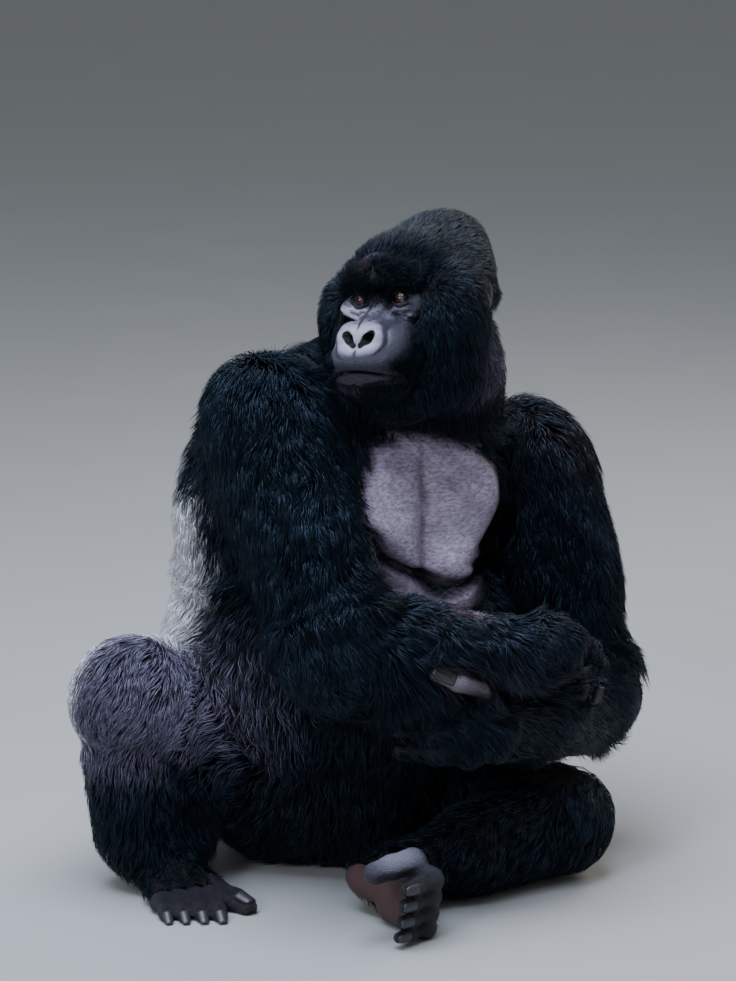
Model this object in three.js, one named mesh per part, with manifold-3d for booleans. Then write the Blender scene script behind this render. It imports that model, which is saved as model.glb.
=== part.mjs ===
// A silverback mountain gorilla, sitting with crossed arms, as a still life-size model.
// Millimetres, +Z up. The origin is the middle of the flat under the pelvis, on the floor.
// Every solid reaches out to the tips of the coat.
//
// The body is one soft form: rounded masses that flow into each other. It is then parted, smallest
// sub-part first: each takes the stretch of the body that is nearest to its own masses, and what is
// left over starts a thin cut further out.

import * as THREE from "three";
import { mergeVertices } from "three/addons/utils/BufferGeometryUtils.js";
import Module from "manifold-3d";

const wasm = await Module();
wasm.setup();

// ---------------------------------------------------------------- driving dimensions

const CUT = 2; // width of the cuts that part the body
const MARGIN = 1.6; // how far a sub-part's box reaches past its masses, in facets
const COARSER = 2; // size of the facets between sub-parts, in facets of the surface
const PINCH = 0.04; // share of the way that a pinched vertex is drawn back
const TRUNK_TURN = 30; // degrees that the chest is turned to the animal's left
const HEAD_TURN = -35; // degrees that the face is turned to its right
const HEAD_NOD = -3; // degrees that the face is lowered
const HEAD_ROLL = 8; // degrees that its left ear is raised

// Joint centres.
const SHOULDER_R = [-118, -205, 780];
const ELBOW_R = [-8, -400, 452];
const WRIST_R = [325, -348, 446];
const SHOULDER_L = [325, 40, 655];
const ELBOW_L = [413, -50, 288];
const WRIST_L = [225, -380, 316];
const HIP_R = [-115, -60, 165];
const KNEE_R = [-348, -240, 326];
const ANKLE_R = [-340, -228, 100];
const HIP_L = [115, 45, 145];
const KNEE_L = [360, -180, 102];
const ANKLE_L = [108, -352, 70];
const HEAD = [129, -195, 988]; // halfway between the ears

const EYE = { radius: 14, side: 39, forward: 113, up: 11, clearance: 0.4, facets: [12, 8] };
const EAR = { side: 124, forward: 8, up: 5 };
const FINGER = { lengths: [58, 40, 28], radius: 19 };
const THUMB = { lengths: [56, 40], radius: 18 };
const THUMB_LIFT = 36; // how far the left thumb stands off its palm
const TOE = { lengths: [38, 26], radius: 14.5 };
const GREAT_TOE = { lengths: [42, 30], radius: 22 };

// ---------------------------------------------------------------- frames

const point = (p) => new THREE.Vector3(...p);
const unit = (...v) => new THREE.Vector3(...v).normalize();
const between = (p, q, t) => p.map((v, i) => v + (q[i] - v) * t);
const shifted = (p, q) => p.map((v, i) => v + q[i]);

// A frame from its origin and three unit axes: at() gives a place from its steps along them.
function frame(origin, axes) {
  const at = (...steps) =>
    steps.reduce((place, step, i) => place.addScaledVector(axes[i], step), point(origin));
  return { axes, at };
}

// An upright frame that is turned about the vertical, then nodded, then rolled, all in degrees. Its
// axes run left, forward, up.
function uprightFrame(origin, turn, nod = 0, roll = 0) {
  const [t, n, r] = [turn, nod, roll].map(THREE.MathUtils.degToRad);
  const level = unit(Math.cos(t), Math.sin(t), 0);
  const forward = unit(Math.sin(t) * Math.cos(n), -Math.cos(t) * Math.cos(n), -Math.sin(n));
  const left = level.applyAxisAngle(forward, r);
  return frame(origin, [left, forward, forward.clone().cross(left)]);
}

// The frame of a hand or foot. Its axes run along it, towards the thumb or great toe, and out of its
// back or top. The side is 1 for the left and -1 for the right.
function pawFrame(origin, along, back, side) {
  const inner = along.clone().cross(back).normalize().multiplyScalar(side);
  return frame(origin, [along, inner, inner.clone().cross(along).multiplyScalar(side)]);
}

const trunk = uprightFrame([0, 0, 0], TRUNK_TURN);
const head = uprightFrame(HEAD, HEAD_TURN, HEAD_NOD, HEAD_ROLL);
const handLeft = pawFrame(WRIST_L, unit(-0.83, -0.5, 0.2), unit(0.5, -0.8, 0.2), 1);
const handRight = pawFrame(WRIST_R, unit(0.45, 0.87, -0.2), unit(0.1, 0.18, 0.97), -1);
const footLeft = pawFrame([40, -416, 57], unit(0.62, -0.785, 0), unit(0.785, 0.62, 0), 1);
const footRight = pawFrame([-290, -242, -5], unit(0.24, -0.97, 0), unit(0, 0, 1), -1);

// ---------------------------------------------------------------- masses

// An ellipsoid in a frame: its middle, and its radii along the frame's axes.
function ball(f, middle, radii) {
  const c = f.at(...middle);
  const [a, b, u] = f.axes;
  const [ra, rb, rc] = radii;
  return {
    reach: Math.max(...radii),
    ends: [c],
    distance(x, y, z) {
      const dx = x - c.x;
      const dy = y - c.y;
      const dz = z - c.z;
      const p = (dx * a.x + dy * a.y + dz * a.z) / ra;
      const q = (dx * b.x + dy * b.y + dz * b.z) / rb;
      const r = (dx * u.x + dy * u.y + dz * u.z) / rc;
      const k0 = Math.hypot(p, q, r);
      const k1 = Math.hypot(p / ra, q / rb, r / rc);
      return k1 > 1e-9 ? (k0 * (k0 - 1)) / k1 : -Math.min(ra, rb, rc);
    },
  };
}

// A limb: a round bar from one point to another, whose radius changes evenly.
function limb(from, to, r0, r1) {
  const a = Array.isArray(from) ? point(from) : from;
  const b = Array.isArray(to) ? point(to) : to;
  const d = b.clone().sub(a);
  const length2 = d.lengthSq();
  return {
    reach: Math.max(r0, r1),
    ends: [a, b],
    distance(x, y, z) {
      const px = x - a.x;
      const py = y - a.y;
      const pz = z - a.z;
      const along = (px * d.x + py * d.y + pz * d.z) / length2;
      const t = Math.min(1, Math.max(0, along));
      return Math.hypot(px - t * d.x, py - t * d.y, pz - t * d.z) - (r0 + (r1 - r0) * t);
    },
  };
}

// A hollow pressed into the masses before it.
const hollow = (mass) => ({ ...mass, pressed: true });

// Two distances joined with a fillet of size k, and one pressed into another in the same way.
function joined(a, b, k) {
  const h = Math.max(k - Math.abs(a - b), 0);
  return Math.min(a, b) - (h * h) / (4 * k);
}
const pressedInto = (a, b, k) => -joined(-a, b, k);

// A digit: bars end to end, each bent further towards the palm or sole than the last.
function digit(start, along, palm, lengths, bends, radius) {
  const bars = [];
  let from = start;
  let turn = 0;
  lengths.forEach((length, i) => {
    turn += THREE.MathUtils.degToRad(bends[i]);
    const way = along.clone().multiplyScalar(Math.cos(turn)).addScaledVector(palm, Math.sin(turn));
    const to = from.clone().addScaledVector(way, length);
    bars.push(limb(from, to, radius * (1 - 0.1 * i), radius * (0.9 - 0.1 * i)));
    from = to;
  });
  return bars;
}

// ---------------------------------------------------------------- sub-parts, as lists of masses

function chestForms() {
  return [
    ball(trunk, [-10, 75, 640], [245, 180, 205]),
    ball(trunk, [5, -20, 690], [245, 150, 150]), // upper back
    ball(trunk, [-160, -20, 600], [140, 155, 200]), // right flank muscle
    ball(trunk, [150, -15, 590], [130, 150, 190]), // left flank muscle
    ball(trunk, [-78, 178, 662], [112, 88, 108]), // right breast
    ball(trunk, [92, 172, 655], [112, 90, 108]), // left breast
  ];
}

function bellyForms() {
  return [
    ball(trunk, [0, 62, 365], [302, 258, 245]),
    ball(trunk, [-42, -60, 350], [270, 190, 250]), // small of the back
    ball(trunk, [0, 4, 132], [265, 232, 154]), // pelvis, on the floor
  ];
}

function neckForms() {
  return [
    limb(trunk.at(0, 40, 770), head.at(4, -38, -40), 140, 92),
    limb(trunk.at(150, 30, 716), head.at(40, -54, -128), 122, 68), // left shoulder muscle
    limb(trunk.at(-110, 45, 752), head.at(-20, -50, -70), 114, 78), // right shoulder muscle
  ];
}

function headForms() {
  return [
    ball(head, [0, -14, 34], [115, 126, 91]), // braincase
    ball(head, [0, -66, 82], [74, 90, 64]), // crest over the skull
    ball(head, [0, 48, 62], [94, 78, 50]), // forehead
    ...[-1, 1].flatMap((side) => [
      ball(head, [side * 93, 60, -26], [61, 76, 92]), // cheek
      ball(head, [side * 58, 36, -106], [76, 92, 72]), // jaw ruff
    ]),
    ball(head, [0, 88, -142], [64, 74, 50]), // beard
  ];
}

function faceForms() {
  const socket = (side) => head.at(side * EYE.side, EYE.forward + 18, EYE.up);
  return [
    ...[-1, 1].map((side) => limb(head.at(side * 52, 100, 44), head.at(0, 114, 52), 24, 26)), // brow
    ball(head, [0, 90, 4], [74, 38, 46]), // round the eyes
    ball(head, [-3, 128, -70], [78, 66, 58]), // muzzle
    ball(head, [0, 157, -42], [50, 34, 27]), // nose
    ball(head, [-7, 163, -80], [79, 46, 30]), // upper lip
    ball(head, [-7, 152, -118], [67, 45, 23]), // lower lip and chin
    ...[-1, 1].map((side) =>
      hollow(limb(socket(side), socket(side).addScaledVector(head.axes[1], 20), 17, 22)),
    ),
  ];
}

function earForms(side) {
  return [
    ball(head, [side * EAR.side, EAR.forward, EAR.up], [12, 23, 30]),
    hollow(ball(head, [side * (EAR.side + 12), EAR.forward + 5, EAR.up], [8, 12, 18])),
  ];
}

const upperArmRightForms = () => [
  limb(SHOULDER_R, ELBOW_R, 118, 100),
  limb(shifted(SHOULDER_R, [-14, 60, 18]), between(SHOULDER_R, ELBOW_R, 0.5), 102, 104),
];
const forearmRightForms = () => [
  limb(ELBOW_R, WRIST_R, 90, 58),
  limb(ELBOW_R, between(ELBOW_R, WRIST_R, 0.4), 98, 78),
];
const upperArmLeftForms = () => [
  limb(SHOULDER_L, ELBOW_L, 110, 86),
  limb(shifted(SHOULDER_L, [-38, 0, 30]), between(SHOULDER_L, ELBOW_L, 0.5), 104, 102),
];
const forearmLeftForms = () => [
  limb(ELBOW_L, WRIST_L, 84, 60),
  limb(ELBOW_L, between(ELBOW_L, WRIST_L, 0.5), 84, 82),
];
const thighRightForms = () => [limb(HIP_R, KNEE_R, 150, 100)];
const shankRightForms = () => [
  limb(KNEE_R, ANKLE_R, 100, 84),
  limb(shifted(KNEE_R, [30, 40, -90]), shifted(ANKLE_R, [55, 25, 0]), 90, 84), // calf
];
const thighLeftForms = () => [limb(HIP_L, KNEE_L, 148, 84)];
const shankLeftForms = () => [
  limb(KNEE_L, ANKLE_L, 80, 52),
  limb(KNEE_L, between(KNEE_L, ANKLE_L, 0.6), 80, 74),
];

// A hand, its origin at the wrist. The bends are those of its finger joints, and its thumb is lifted
// off the palm.
function handForms(f, bends, lift = 0) {
  const [along, inner, back] = f.axes;
  const palm = back.clone().negate();
  const knuckles = [44, 15, -14, -42].map((off, i) => [102 - 4 * i, off]);
  const thumbAlong = along.clone().multiplyScalar(0.96).addScaledVector(inner, 0.27).normalize();
  return [
    limb(f.at(-10, 0, 0), f.at(50, 0, 0), 44, 40),
    limb(f.at(4, 24, 0), f.at(32, 56, 14 + lift), 30, 22), // ball of the thumb
    ...knuckles.map(([on, off]) => limb(f.at(20, off * 0.7, 0), f.at(on, off, 0), 30, 23)),
    ...knuckles.flatMap(([on, off], i) =>
      digit(f.at(on, off, 0), along, palm, FINGER.lengths, bends, FINGER.radius - i),
    ),
    ...digit(f.at(34, 58, 16 + lift), thumbAlong, palm, THUMB.lengths, [0, 10], THUMB.radius),
  ];
}

// A foot, its origin in the middle of the sole under the ankle. The bends are those of its toe joints,
// and the great toe starts at greatRoot and points along greatWay, in the foot's own axes.
function footForms(f, bends, greatRoot, greatWay) {
  const [along, , top] = f.axes;
  const sole = top.clone().negate();
  const balls = [47, 18, -11, -38].map((off, i) => [134 - 6 * i, off]);
  const greatAlong = f.at(...unit(...greatWay)).sub(f.at(0, 0, 0));
  return [
    ball(f, [-42, 0, 40], [48, 36, 40]), // heel
    limb(f.at(-25, 0, 50), f.at(55, 2, 42), 46, 40),
    limb(f.at(30, 26, 34), f.at(92, 60, 16), 30, 26), // ball of the great toe
    ...balls.map(([on, off]) => limb(f.at(30, off * 0.7, 34), f.at(on, off, 24), 32, 21)),
    ...balls.flatMap(([on, off], i) =>
      digit(f.at(on, off, 22), along, sole, TOE.lengths, bends, TOE.radius - 0.7 * i),
    ),
    ...digit(f.at(...greatRoot), greatAlong, sole, GREAT_TOE.lengths, [0, 8], GREAT_TOE.radius),
  ];
}

// ---------------------------------------------------------------- the whole form

// Sub-parts in the order in which they are taken out of the body. Each has its masses, the size of its
// facets, the fillets between its own masses, and its fillet towards the rest of the body.
const SUBPARTS = {
  ear_left: { forms: earForms(1), facet: 11, fillet: 5, root: 6 },
  ear_right: { forms: earForms(-1), facet: 11, fillet: 5, root: 6 },
  face: { forms: faceForms(), facet: 19, fillet: 15, root: 18 },
  hand_left: { forms: handForms(handLeft, [38, 85, 40], THUMB_LIFT), facet: 22, fillet: 9, root: 20 },
  hand_right: { forms: handForms(handRight, [25, 45, 40]), facet: 27, fillet: 9, root: 20 },
  foot_left: {
    forms: footForms(footLeft, [72, 12], [100, 72, 12], [-0.05, -0.08, -0.99]),
    facet: 21,
    fillet: 9,
    root: 24,
  },
  foot_right: {
    forms: footForms(footRight, [8, 20], [96, 60, 22], [0.85, 0.52, -0.04]),
    facet: 26,
    fillet: 9,
    root: 24,
  },
  head: { forms: headForms(), facet: 42, fillet: 30, root: 40 },
  forearm_left: { forms: forearmLeftForms(), facet: 64, fillet: 40, root: 30 },
  forearm_right: { forms: forearmRightForms(), facet: 66, fillet: 40, root: 30 },
  shank_left: { forms: shankLeftForms(), facet: 60, fillet: 40, root: 40 },
  shank_right: { forms: shankRightForms(), facet: 64, fillet: 40, root: 40 },
  upper_arm_left: { forms: upperArmLeftForms(), facet: 68, fillet: 40, root: 50 },
  upper_arm_right: { forms: upperArmRightForms(), facet: 68, fillet: 40, root: 50 },
  thigh_left: { forms: thighLeftForms(), facet: 68, fillet: 40, root: 50 },
  thigh_right: { forms: thighRightForms(), facet: 68, fillet: 40, root: 50 },
  neck: { forms: neckForms(), facet: 70, fillet: 50, root: 60 },
  belly: { forms: bellyForms(), facet: 90, fillet: 60, root: 60 },
  chest: { forms: chestForms(), facet: 80, fillet: 34, root: 60 },
};
const names = Object.keys(SUBPARTS);

function distanceTo({ forms, fillet }, x, y, z) {
  let d = forms[0].distance(x, y, z);
  for (let i = 1; i < forms.length; i++) {
    const one = forms[i].distance(x, y, z);
    d = forms[i].pressed ? pressedInto(d, one, fillet) : joined(d, one, fillet);
  }
  return d;
}

const distances = (x, y, z) => names.map((name) => distanceTo(SUBPARTS[name], x, y, z));

// The distance to the whole body, joined up from the trunk outwards. The floor cuts it flat.
function bodyDistance(x, y, z) {
  const parts = distances(x, y, z);
  let d = parts[parts.length - 1];
  for (let i = parts.length - 2; i >= 0; i--) d = joined(d, parts[i], SUBPARTS[names[i]].root);
  return Math.max(d, -z);
}

// ---------------------------------------------------------------- wrapping a surface round a distance

const ROUND_AN_EDGE = [[0, 0], [-1, 0], [-1, -1], [0, -1]];

// The surface where a distance is zero, as a closed geometry: one vertex in each cell of a grid that
// the surface crosses, at the mean of its crossings, and two triangles round each crossed grid edge.
// Each vertex then slides down the slope of the settling distance on to its zero.
function wrap(distance, [low, high], cell, settling = null) {
  const first = low.map((v) => Math.floor(v / cell) - 1);
  const size = high.map((v, i) => Math.ceil(v / cell) + 2 - first[i]);
  const index = (a) => (a[2] * size[1] + a[1]) * size[0] + a[0];
  const value = new Float32Array(size[0] * size[1] * size[2]);
  for (const a of cellsOf(size)) value[index(a)] = distance(...a.map((v, i) => (first[i] + v) * cell));
  const inside = (a) => value[index(a)] < 0;

  const vertex = new Int32Array(value.length);
  const places = [];
  for (const a of cellsOf(size.map((v) => v - 1))) {
    const crossing = meanCrossing(a, (b) => value[index(b)]);
    if (!crossing) continue;
    vertex[index(a)] = places.length / 3;
    const place = crossing.map((v, i) => (first[i] + v) * cell);
    places.push(...(settling ? slide(settling, place, cell) : place));
  }

  const faces = [];
  for (const a of cellsOf(size.map((v) => v - 1)))
    for (let axis = 0; axis < 3; axis++) {
      const b = stepped(a, axis, 1);
      if (inside(a) === inside(b)) continue;
      const round = ROUND_AN_EDGE.map(([p, q]) =>
        vertex[index(stepped(stepped(a, (axis + 1) % 3, p), (axis + 2) % 3, q))],
      );
      const [p, q, r, s] = inside(a) ? round : round.reverse();
      faces.push(p, q, r, p, r, s);
    }
  const geometry = new THREE.BufferGeometry();
  geometry.setAttribute("position", new THREE.BufferAttribute(new Float32Array(places), 3));
  return geometry.setIndex(faces);
}

function* cellsOf([nx, ny, nz]) {
  for (let k = 0; k < nz; k++)
    for (let j = 0; j < ny; j++)
      for (let i = 0; i < nx; i++) yield [i, j, k];
}

const stepped = (a, axis, by) => a.map((v, i) => (i === axis ? v + by : v));

// The mean of the points where a cell's twelve edges cross zero, in cells, or null where none does.
function meanCrossing(corner, valueAt) {
  const sum = [0, 0, 0];
  let count = 0;
  for (let axis = 0; axis < 3; axis++)
    for (const [p, q] of ROUND_AN_EDGE) {
      const a = stepped(stepped(corner, (axis + 1) % 3, -p), (axis + 2) % 3, -q);
      const b = stepped(a, axis, 1);
      const [va, vb] = [valueAt(a), valueAt(b)];
      if (va < 0 === vb < 0) continue;
      const t = va / (va - vb);
      between(a, b, t).forEach((v, i) => (sum[i] += v));
      count++;
    }
  return count ? sum.map((v) => v / count) : null;
}

// A point moved along the slope of a distance towards its zero, by under half a cell.
function slide(distance, place, cell) {
  const step = 0.5;
  const d = distance(...place);
  const slope = place.map((v, i) => (distance(...stepped(place, i, step)) - d) / step);
  const steepness = Math.max(slope.reduce((sum, v) => sum + v * v, 0), 0.2);
  const by = THREE.MathUtils.clamp(d / steepness, -0.45 * cell, 0.45 * cell);
  return place.map((v, i) => v - slope[i] * by);
}

// ---------------------------------------------------------------- solids

function solidOf(geometry) {
  return new wasm.Manifold(
    new wasm.Mesh({
      numProp: 3,
      vertProperties: geometry.attributes.position.array,
      triVerts: new Uint32Array(geometry.index.array),
    }),
  );
}

// A geometry whose surface is moved outwards.
function grown(geometry, by) {
  geometry.computeVertexNormals();
  const { position, normal } = geometry.attributes;
  const places = position.array.map((v, i) => v + normal.array[i] * by);
  return new THREE.BufferGeometry()
    .setAttribute("position", new THREE.BufferAttribute(places, 3))
    .setIndex(geometry.index);
}

// The box round a sub-part's masses, with a margin.
function extent({ forms, facet }, margin) {
  const low = [Infinity, Infinity, Infinity];
  const high = [-Infinity, -Infinity, -Infinity];
  for (const form of forms.filter((one) => !one.pressed))
    for (const end of form.ends)
      end.toArray().forEach((v, i) => {
        low[i] = Math.min(low[i], v - form.reach - margin);
        high[i] = Math.max(high[i], v + form.reach + margin);
      });
  low[2] = Math.max(low[2], -facet);
  return [low, high];
}

const boxDistance = ([low, high], ...place) =>
  Math.max(...place.map((v, i) => Math.max(low[i] - v, v - high[i])));

const largest = (solid) => solid.decompose().sort((a, b) => b.volume() - a.volume())[0];

// Takes the sub-parts out of the body in turn, and gives each as a solid.
function partBody() {
  const solids = new Map();
  const taken = [];
  names.forEach((name, own) => {
    const subpart = SUBPARTS[name];
    const margin = MARGIN * subpart.facet;
    const box = extent(subpart, margin);
    const surface = (...place) => Math.max(bodyDistance(...place), boxDistance(box, ...place));
    let solid = solidOf(wrap(surface, box, subpart.facet, bodyDistance));
    if (own < names.length - 1) {
      const stretch = (...place) => {
        const all = distances(...place);
        const rest = Math.min(...all.slice(own + 1));
        return Math.max((all[own] - rest) / 2, all[own] - margin, boxDistance(box, ...place));
      };
      const region = wrap(stretch, box, COARSER * subpart.facet);
      solid = solid.intersect(solidOf(region));
      taken.push(solidOf(region).add(solidOf(grown(region, CUT))));
    }
    const before = taken.slice(0, own);
    solids.set(name, largest(before.reduce((left, one) => left.subtract(one), solid)));
  });
  return solids;
}

// ---------------------------------------------------------------- the object

const COAT = { color: 0x14161b, roughness: 0.75, metalness: 0 };
const SKIN = { color: 0x2c2b30, roughness: 0.5, metalness: 0 };
const EYEBALL = { color: 0x2a120a, roughness: 0.08, metalness: 0 };
const BARE = new Set(["face", "ear_left", "ear_right", "hand_left", "hand_right", "foot_left", "foot_right"]);

function named(name, geometry, look) {
  const mesh = new THREE.Mesh(geometry, new THREE.MeshStandardMaterial(look));
  mesh.name = name;
  return mesh;
}

// Draws vertices that share one place, where the surface is pinched, a little way towards the middle
// of their own faces, so that the pinch opens.
function unpinch(places, faces) {
  const sums = new Float64Array(places.length);
  const counts = new Uint32Array(places.length / 3);
  faces.forEach((v, i) => {
    const face = i - (i % 3);
    for (const w of faces.subarray(face, face + 3)) {
      for (let n = 0; n < 3; n++) sums[3 * v + n] += places[3 * w + n];
      counts[v]++;
    }
  });
  const sharing = new Map();
  for (let v = 0; v < counts.length; v++) {
    const place = places.subarray(3 * v, 3 * v + 3).join();
    sharing.set(place, [...(sharing.get(place) ?? []), v]);
  }
  for (const group of [...sharing.values()].filter((vertices) => vertices.length > 1))
    for (const v of group)
      for (let n = 0; n < 3; n++) {
        const mean = sums[3 * v + n] / counts[v];
        places[3 * v + n] += PINCH * (mean - places[3 * v + n]);
      }
}

function geometryOf(solid) {
  const { vertProperties, triVerts } = solid.getMesh();
  unpinch(vertProperties, triVerts);
  const geometry = new THREE.BufferGeometry();
  geometry.setAttribute("position", new THREE.BufferAttribute(vertProperties, 3));
  geometry.setIndex(new THREE.BufferAttribute(triVerts, 1));
  geometry.computeVertexNormals();
  return geometry;
}

const eyePlace = (side) => head.at(side * EYE.side, EYE.forward, EYE.up);

// A ball of the eye's size and more, at its place, with its like vertices merged so that it is closed.
function eyeBall(side, clearance) {
  const geometry = new THREE.SphereGeometry(EYE.radius + clearance, ...EYE.facets);
  geometry.deleteAttribute("normal").deleteAttribute("uv");
  return mergeVertices(geometry.translate(...eyePlace(side).toArray()));
}

function eye(name, side) {
  const mesh = named(name, new THREE.SphereGeometry(EYE.radius, ...EYE.facets), EYEBALL);
  mesh.position.copy(eyePlace(side));
  return mesh;
}

const solids = partBody();
for (const side of [-1, 1])
  for (const name of ["face", "head"]) {
    const socket = solidOf(eyeBall(side, EYE.clearance));
    solids.set(name, largest(solids.get(name).subtract(socket)));
  }

const gorilla = new THREE.Group();
for (const [name, solid] of solids) gorilla.add(named(name, geometryOf(solid), BARE.has(name) ? SKIN : COAT));
gorilla.add(eye("eye_left", 1), eye("eye_right", -1));

export default gorilla;
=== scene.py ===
"""A silverback mountain gorilla sitting with crossed arms: its skin, eyes, nails and coat.

The shape is worked out in millimetres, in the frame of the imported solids, and put into meshes in
metres. One distance function, the same rounded masses as the solids, says how far a place is from the
tips of the coat. The skin is its level surface at the coat's depth, and every strand of the coat is
walked over it.
"""

import logging
import math
from collections.abc import Callable
from dataclasses import dataclass, field
from enum import Enum

import bpy
import numpy as np
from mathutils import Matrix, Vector

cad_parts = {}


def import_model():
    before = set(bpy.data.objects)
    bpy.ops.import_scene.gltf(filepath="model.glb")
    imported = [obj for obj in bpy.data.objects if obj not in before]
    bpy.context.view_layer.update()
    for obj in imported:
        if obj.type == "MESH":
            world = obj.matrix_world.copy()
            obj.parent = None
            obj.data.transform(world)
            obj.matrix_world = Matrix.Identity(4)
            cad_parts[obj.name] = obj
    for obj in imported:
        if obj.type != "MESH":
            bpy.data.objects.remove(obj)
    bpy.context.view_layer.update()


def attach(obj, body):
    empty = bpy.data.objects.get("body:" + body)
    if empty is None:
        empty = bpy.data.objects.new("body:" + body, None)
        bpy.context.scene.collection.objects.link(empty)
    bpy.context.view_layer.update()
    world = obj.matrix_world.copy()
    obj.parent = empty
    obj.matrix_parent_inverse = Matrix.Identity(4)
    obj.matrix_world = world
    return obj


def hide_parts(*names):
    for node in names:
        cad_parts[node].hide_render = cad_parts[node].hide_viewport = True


log = logging.getLogger("gorilla")
Points = np.ndarray  # n rows of x, y, z, in millimetres
Socket = bpy.types.NodeSocket
METRES = 0.001
DOWN = np.array([0.0, 0.0, -1.0])
STEPS = np.eye(3, dtype=int)  # one step along each axis
FLOOR_GAP = 1.5  # how near skin and hair come to the floor, in millimetres


# ------------------------------------------------------------------ arithmetic on arrays

def unit(v: Points) -> Points:
    """Vectors divided by their length, along the last axis."""
    return v / np.maximum(np.linalg.norm(v, axis=-1, keepdims=True), 1e-9)


def rise(x: Points, low: float, high: float) -> Points:
    """A smooth step: 0 below low, 1 above high, and 3t^2 - 2t^3 between them. low may be above high."""
    t = np.clip((x - low) / (high - low), 0.0, 1.0)
    return t * t * (3.0 - 2.0 * t)


def bell(x: Points, width: float) -> Points:
    """A bump of height 1 at x = 0: exp(-(x / width)^2)."""
    return np.exp(-((x / width) ** 2))


def mirrored(q: Points, middle: float = 0.0) -> Points:
    """Places with the first coordinate measured to either side of a middle."""
    return np.stack([np.abs(q[:, 0] - middle), q[:, 1], q[:, 2]], axis=1)


def joined(a: Points, b: Points, k: float) -> Points:
    """Two distances joined with a fillet: the smaller, less h^2 / 4k, where h = max(k - |a - b|, 0)."""
    h = np.maximum(k - np.abs(a - b), 0.0)
    return np.minimum(a, b) - h * h / (4.0 * k)


def pressed_into(a: Points, b: Points, k: float) -> Points:
    """Distance a with the form of distance b pressed into it, with a fillet of size k at the rim."""
    return -joined(-a, b, k)


def noise(p: Points, size: float, seed: int, waves: int = 5) -> Points:
    """Smooth noise of about -1 to 1: the mean of sines whose wave vectors have random directions.

    Args:
        p: Places.
        size: Width of one bump, in millimetres.
        seed: Which noise.
        waves: How many sines are summed.

    Returns:
        One value for each place.
    """
    rng = np.random.default_rng(seed)
    ways = unit(rng.normal(size=(waves, 3))) * rng.uniform(0.6, 1.5, (waves, 1)) * math.pi / size
    return np.sin(p @ ways.T + rng.uniform(0, 2 * math.pi, waves)).mean(axis=1) * 1.6


# ------------------------------------------------------------------ frames and masses

@dataclass(frozen=True)
class Frame:
    """A place and three unit axes, one to a row."""

    origin: Points
    axes: Points

    def at(self, *steps: float) -> Points:
        """The place at these steps along the axes."""
        return self.origin + np.array(steps) @ self.axes

    def local(self, p: Points) -> Points:
        """The steps along the axes of each place."""
        return (p - self.origin) @ self.axes.T


def upright_frame(origin: list[float], turn: float, nod: float = 0.0, roll: float = 0.0) -> Frame:
    """A frame turned about the vertical, nodded, then rolled, in degrees. Its axes run left, forward, up.

    Args:
        origin: Its place, in millimetres.
        turn: Degrees to its left.
        nod: Degrees down.
        roll: Degrees over to one side.

    Returns:
        The frame.
    """
    t, n, r = np.radians([turn, nod, roll])
    level = np.array([math.cos(t), math.sin(t), 0.0])
    forward = np.array([math.sin(t) * math.cos(n), -math.cos(t) * math.cos(n), -math.sin(n)])
    left = level * math.cos(r) + np.cross(forward, level) * math.sin(r)
    return Frame(np.array(origin, float), np.array([left, forward, np.cross(forward, left)]))


def paw_frame(origin: list[float], along: list[float], back: list[float], side: int) -> Frame:
    """A hand's or foot's frame: along it, towards the thumb or great toe, and out of its back or top.

    Args:
        origin: Its place, in millimetres.
        along: The way it points.
        back: Roughly the way out of its back or top.
        side: 1 for left, -1 for right.

    Returns:
        The frame.
    """
    way = unit(np.array(along, float))
    inner = unit(np.cross(way, back)) * side
    return Frame(np.array(origin, float), np.array([way, inner, np.cross(inner, way) * side]))


@dataclass(frozen=True)
class Ball:
    """An ellipsoid in a frame: its middle and its radii along the frame's axes."""

    frame: Frame
    middle: tuple[float, float, float]
    radii: tuple[float, float, float]
    pressed: bool = False

    def ends(self) -> Points:
        """The middle, as the one end of the mass."""
        return self.frame.at(*self.middle)[None]

    def reach(self) -> float:
        """The largest radius."""
        return max(self.radii)

    def distance(self, p: Points) -> Points:
        """Roughly k0 (k0 - 1) / k1, with k0 = |q / r| and k1 = |q / r^2| for the local place q.

        Args:
            p: Places.

        Returns:
            One distance for each, negative inside.
        """
        q = (self.frame.local(p) - np.array(self.middle)) / np.array(self.radii)
        k0 = np.linalg.norm(q, axis=1)
        k1 = np.linalg.norm(q / np.array(self.radii), axis=1)
        return np.where(k1 > 1e-9, k0 * (k0 - 1.0) / np.maximum(k1, 1e-9), -min(self.radii))


@dataclass(frozen=True)
class Limb:
    """A round bar between two places, whose radius changes evenly."""

    start: Points
    end: Points
    r0: float
    r1: float
    pressed: bool = False

    def ends(self) -> Points:
        """The two ends of its axis."""
        return np.array([self.start, self.end])

    def reach(self) -> float:
        """The larger radius."""
        return max(self.r0, self.r1)

    def distance(self, p: Points) -> Points:
        """The distance to the nearest place on the axis, less the radius there.

        Args:
            p: Places.

        Returns:
            One distance for each, negative inside.
        """
        d = self.end - self.start
        t = np.clip((p - self.start) @ d / (d @ d), 0.0, 1.0)
        return np.linalg.norm(p - self.start - t[:, None] * d, axis=1) - (self.r0 + (self.r1 - self.r0) * t)


Mass = Ball | Limb


def rod(start: list[float], end: list[float], r0: float, r1: float) -> Limb:
    """A limb from plain coordinates."""
    return Limb(np.array(start, float), np.array(end, float), r0, r1)


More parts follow.
